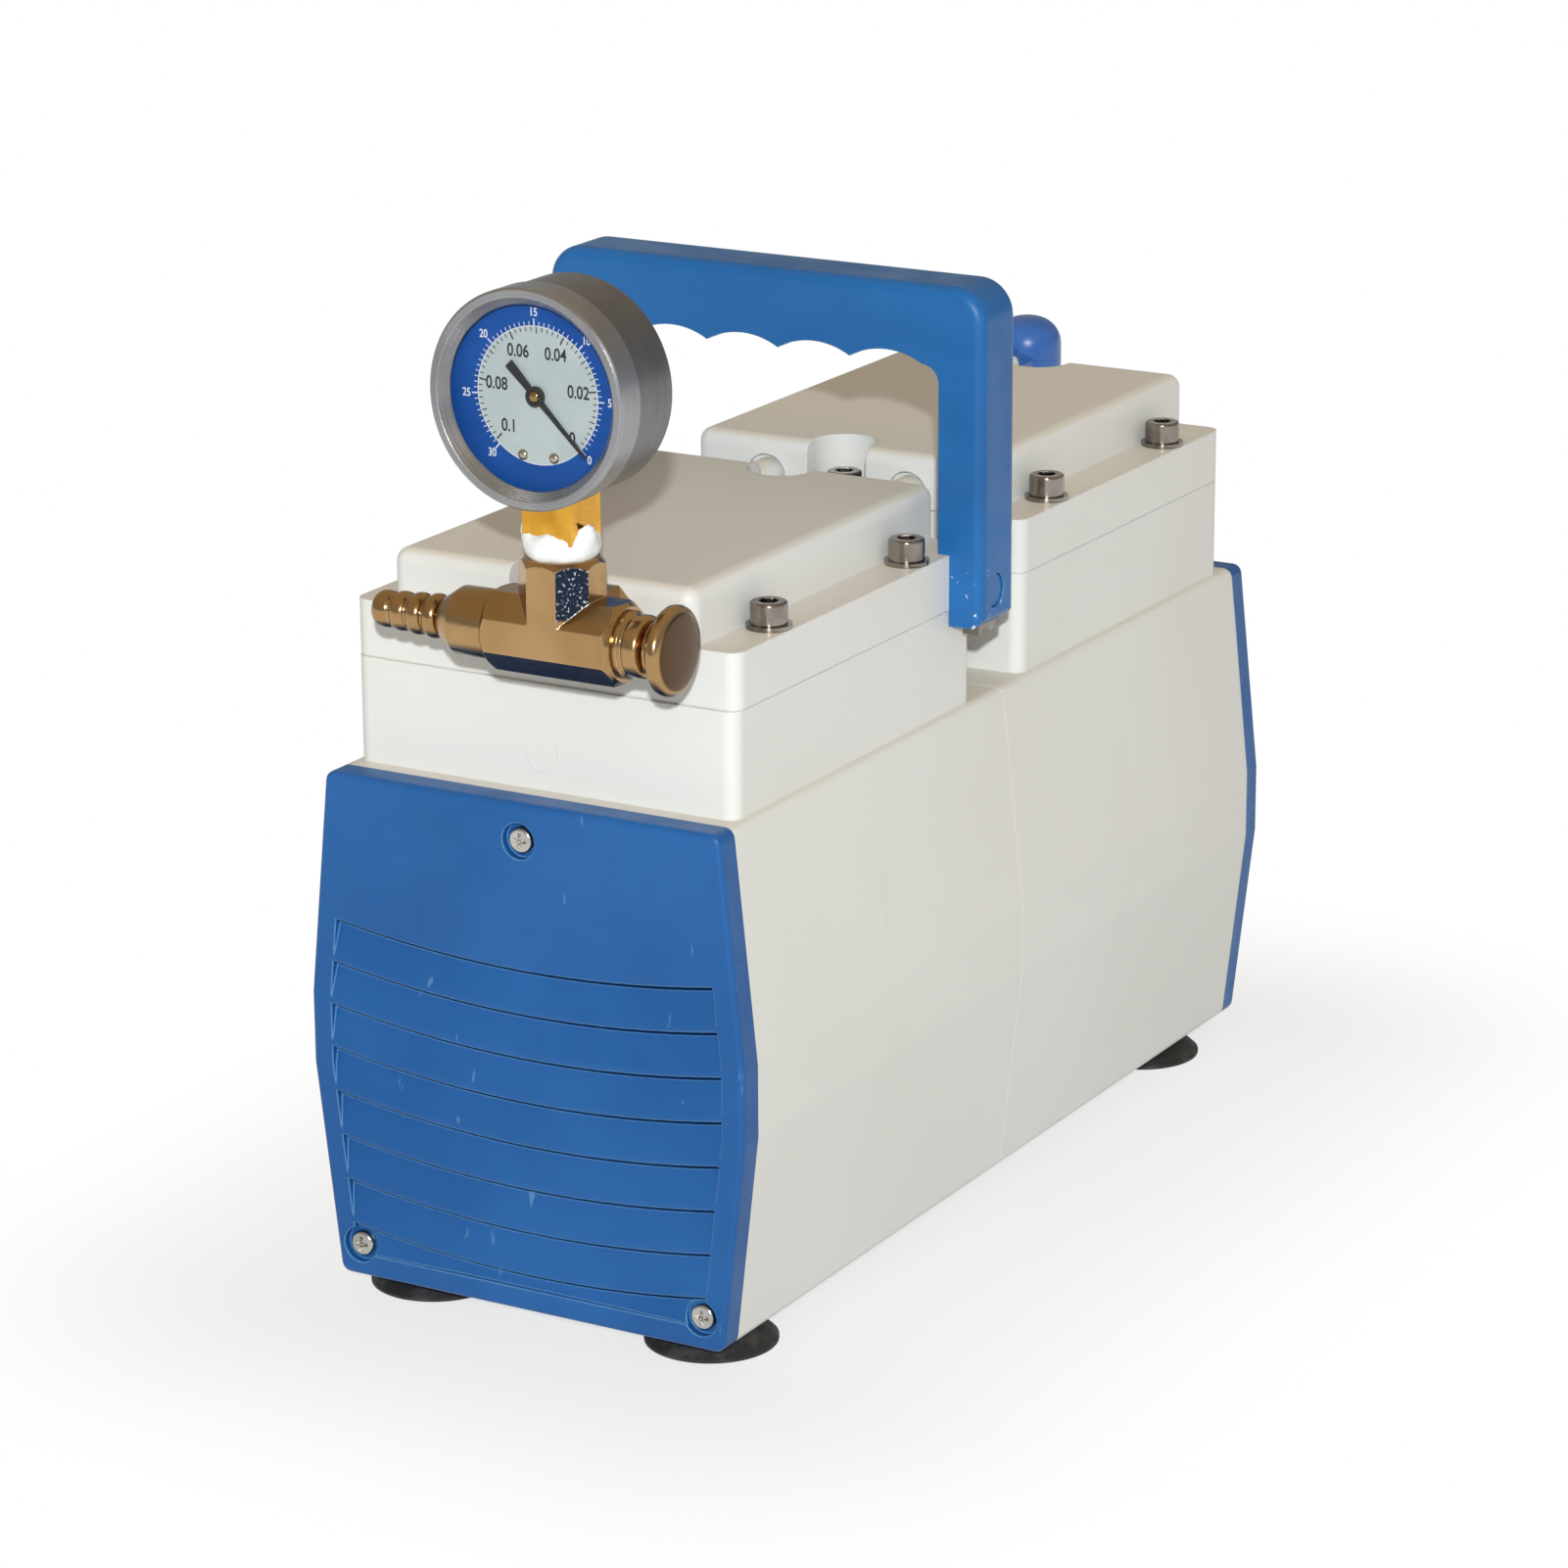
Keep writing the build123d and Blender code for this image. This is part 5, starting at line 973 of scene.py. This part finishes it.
def soft_lamp(name, azimuth, elevation, distance, size, power, colour):
    """A round lamp that looks at the middle of the pump from that direction."""
    a, e = math.radians(azimuth), math.radians(elevation)
    way = Vector((math.sin(a) * math.cos(e), -math.cos(a) * math.cos(e), math.sin(e)))
    lamp = bpy.data.lights.new(name, "AREA")
    lamp.shape = "DISK"
    lamp.size = size
    lamp.energy = power
    lamp.color = colour
    obj = bpy.data.objects.new(name, lamp)
    obj.location = (cad_low + cad_high) / 2 + way * distance
    obj.rotation_euler = way.to_track_quat("Z", "Y").to_euler()
    bpy.context.scene.collection.objects.link(obj)
    print(name, "lamp at", [round(c, 2) for c in obj.location])


soft_lamp("key", KEY_AZIMUTH, KEY_ELEVATION, KEY_DISTANCE, KEY_SIZE, KEY_POWER, KEY_COLOUR)

# %% [markdown]
# ## A sky that fills the shadows
# The rest of the light is a dim sky, cool near the horizon and warm overhead, which gives
# the tops their cream tone and the sides their grey one. The camera doesn't see it: to
# camera rays, and to those that pass the glass, the sky is plain white.

# %% Sky
SKY_LOW, SKY_HIGH = 0.12, 0.62    # heights between which the sky turns from cool to warm
COOL_HORIZON, WARM_ZENITH = (0.34, 0.375, 0.41, 1.0), (0.50, 0.41, 0.29, 1.0)
world = bpy.data.worlds.new("pale_sky")
world.use_nodes = True
bpy.context.scene.world = world
nodes, links = world.node_tree.nodes, world.node_tree.links
nodes.clear()

path = nodes.new("ShaderNodeLightPath")
seen = nodes.new("ShaderNodeMath")
seen.operation = "MAXIMUM"
links.new(path.outputs["Is Camera Ray"], seen.inputs[0])
links.new(path.outputs["Is Transmission Ray"], seen.inputs[1])

way = nodes.new("ShaderNodeTexCoord")
parts = nodes.new("ShaderNodeSeparateXYZ")
height = nodes.new("ShaderNodeMapRange")
height.inputs["From Min"].default_value = SKY_LOW
height.inputs["From Max"].default_value = SKY_HIGH
tint = nodes.new("ShaderNodeMix")
tint.data_type = "RGBA"
tint.inputs[MIX_FIRST].default_value = COOL_HORIZON
tint.inputs[MIX_SECOND].default_value = WARM_ZENITH
fill = nodes.new("ShaderNodeBackground")
fill.inputs["Strength"].default_value = 1.0
links.new(way.outputs["Generated"], parts.inputs[0])
links.new(parts.outputs["Z"], height.inputs["Value"])
links.new(height.outputs[0], tint.inputs[MIX_FACTOR])
links.new(tint.outputs[MIX_RESULT], fill.inputs["Color"])

white = nodes.new("ShaderNodeBackground")
white.inputs["Color"].default_value = WHITE
white.inputs["Strength"].default_value = 1.0
choice = nodes.new("ShaderNodeMixShader")
out = nodes.new("ShaderNodeOutputWorld")
links.new(seen.outputs[0], choice.inputs[0])
links.new(fill.outputs[0], choice.inputs[1])
links.new(white.outputs[0], choice.inputs[2])
links.new(choice.outputs[0], out.inputs["Surface"])
bpy.context.scene.view_settings.view_transform = "Standard"
print("sky:", len(nodes), "nodes, view", bpy.context.scene.view_settings.view_transform)

# %% [markdown]
# ## Sizes and the end
# The dressed pump must stay inside the CAD model's box.
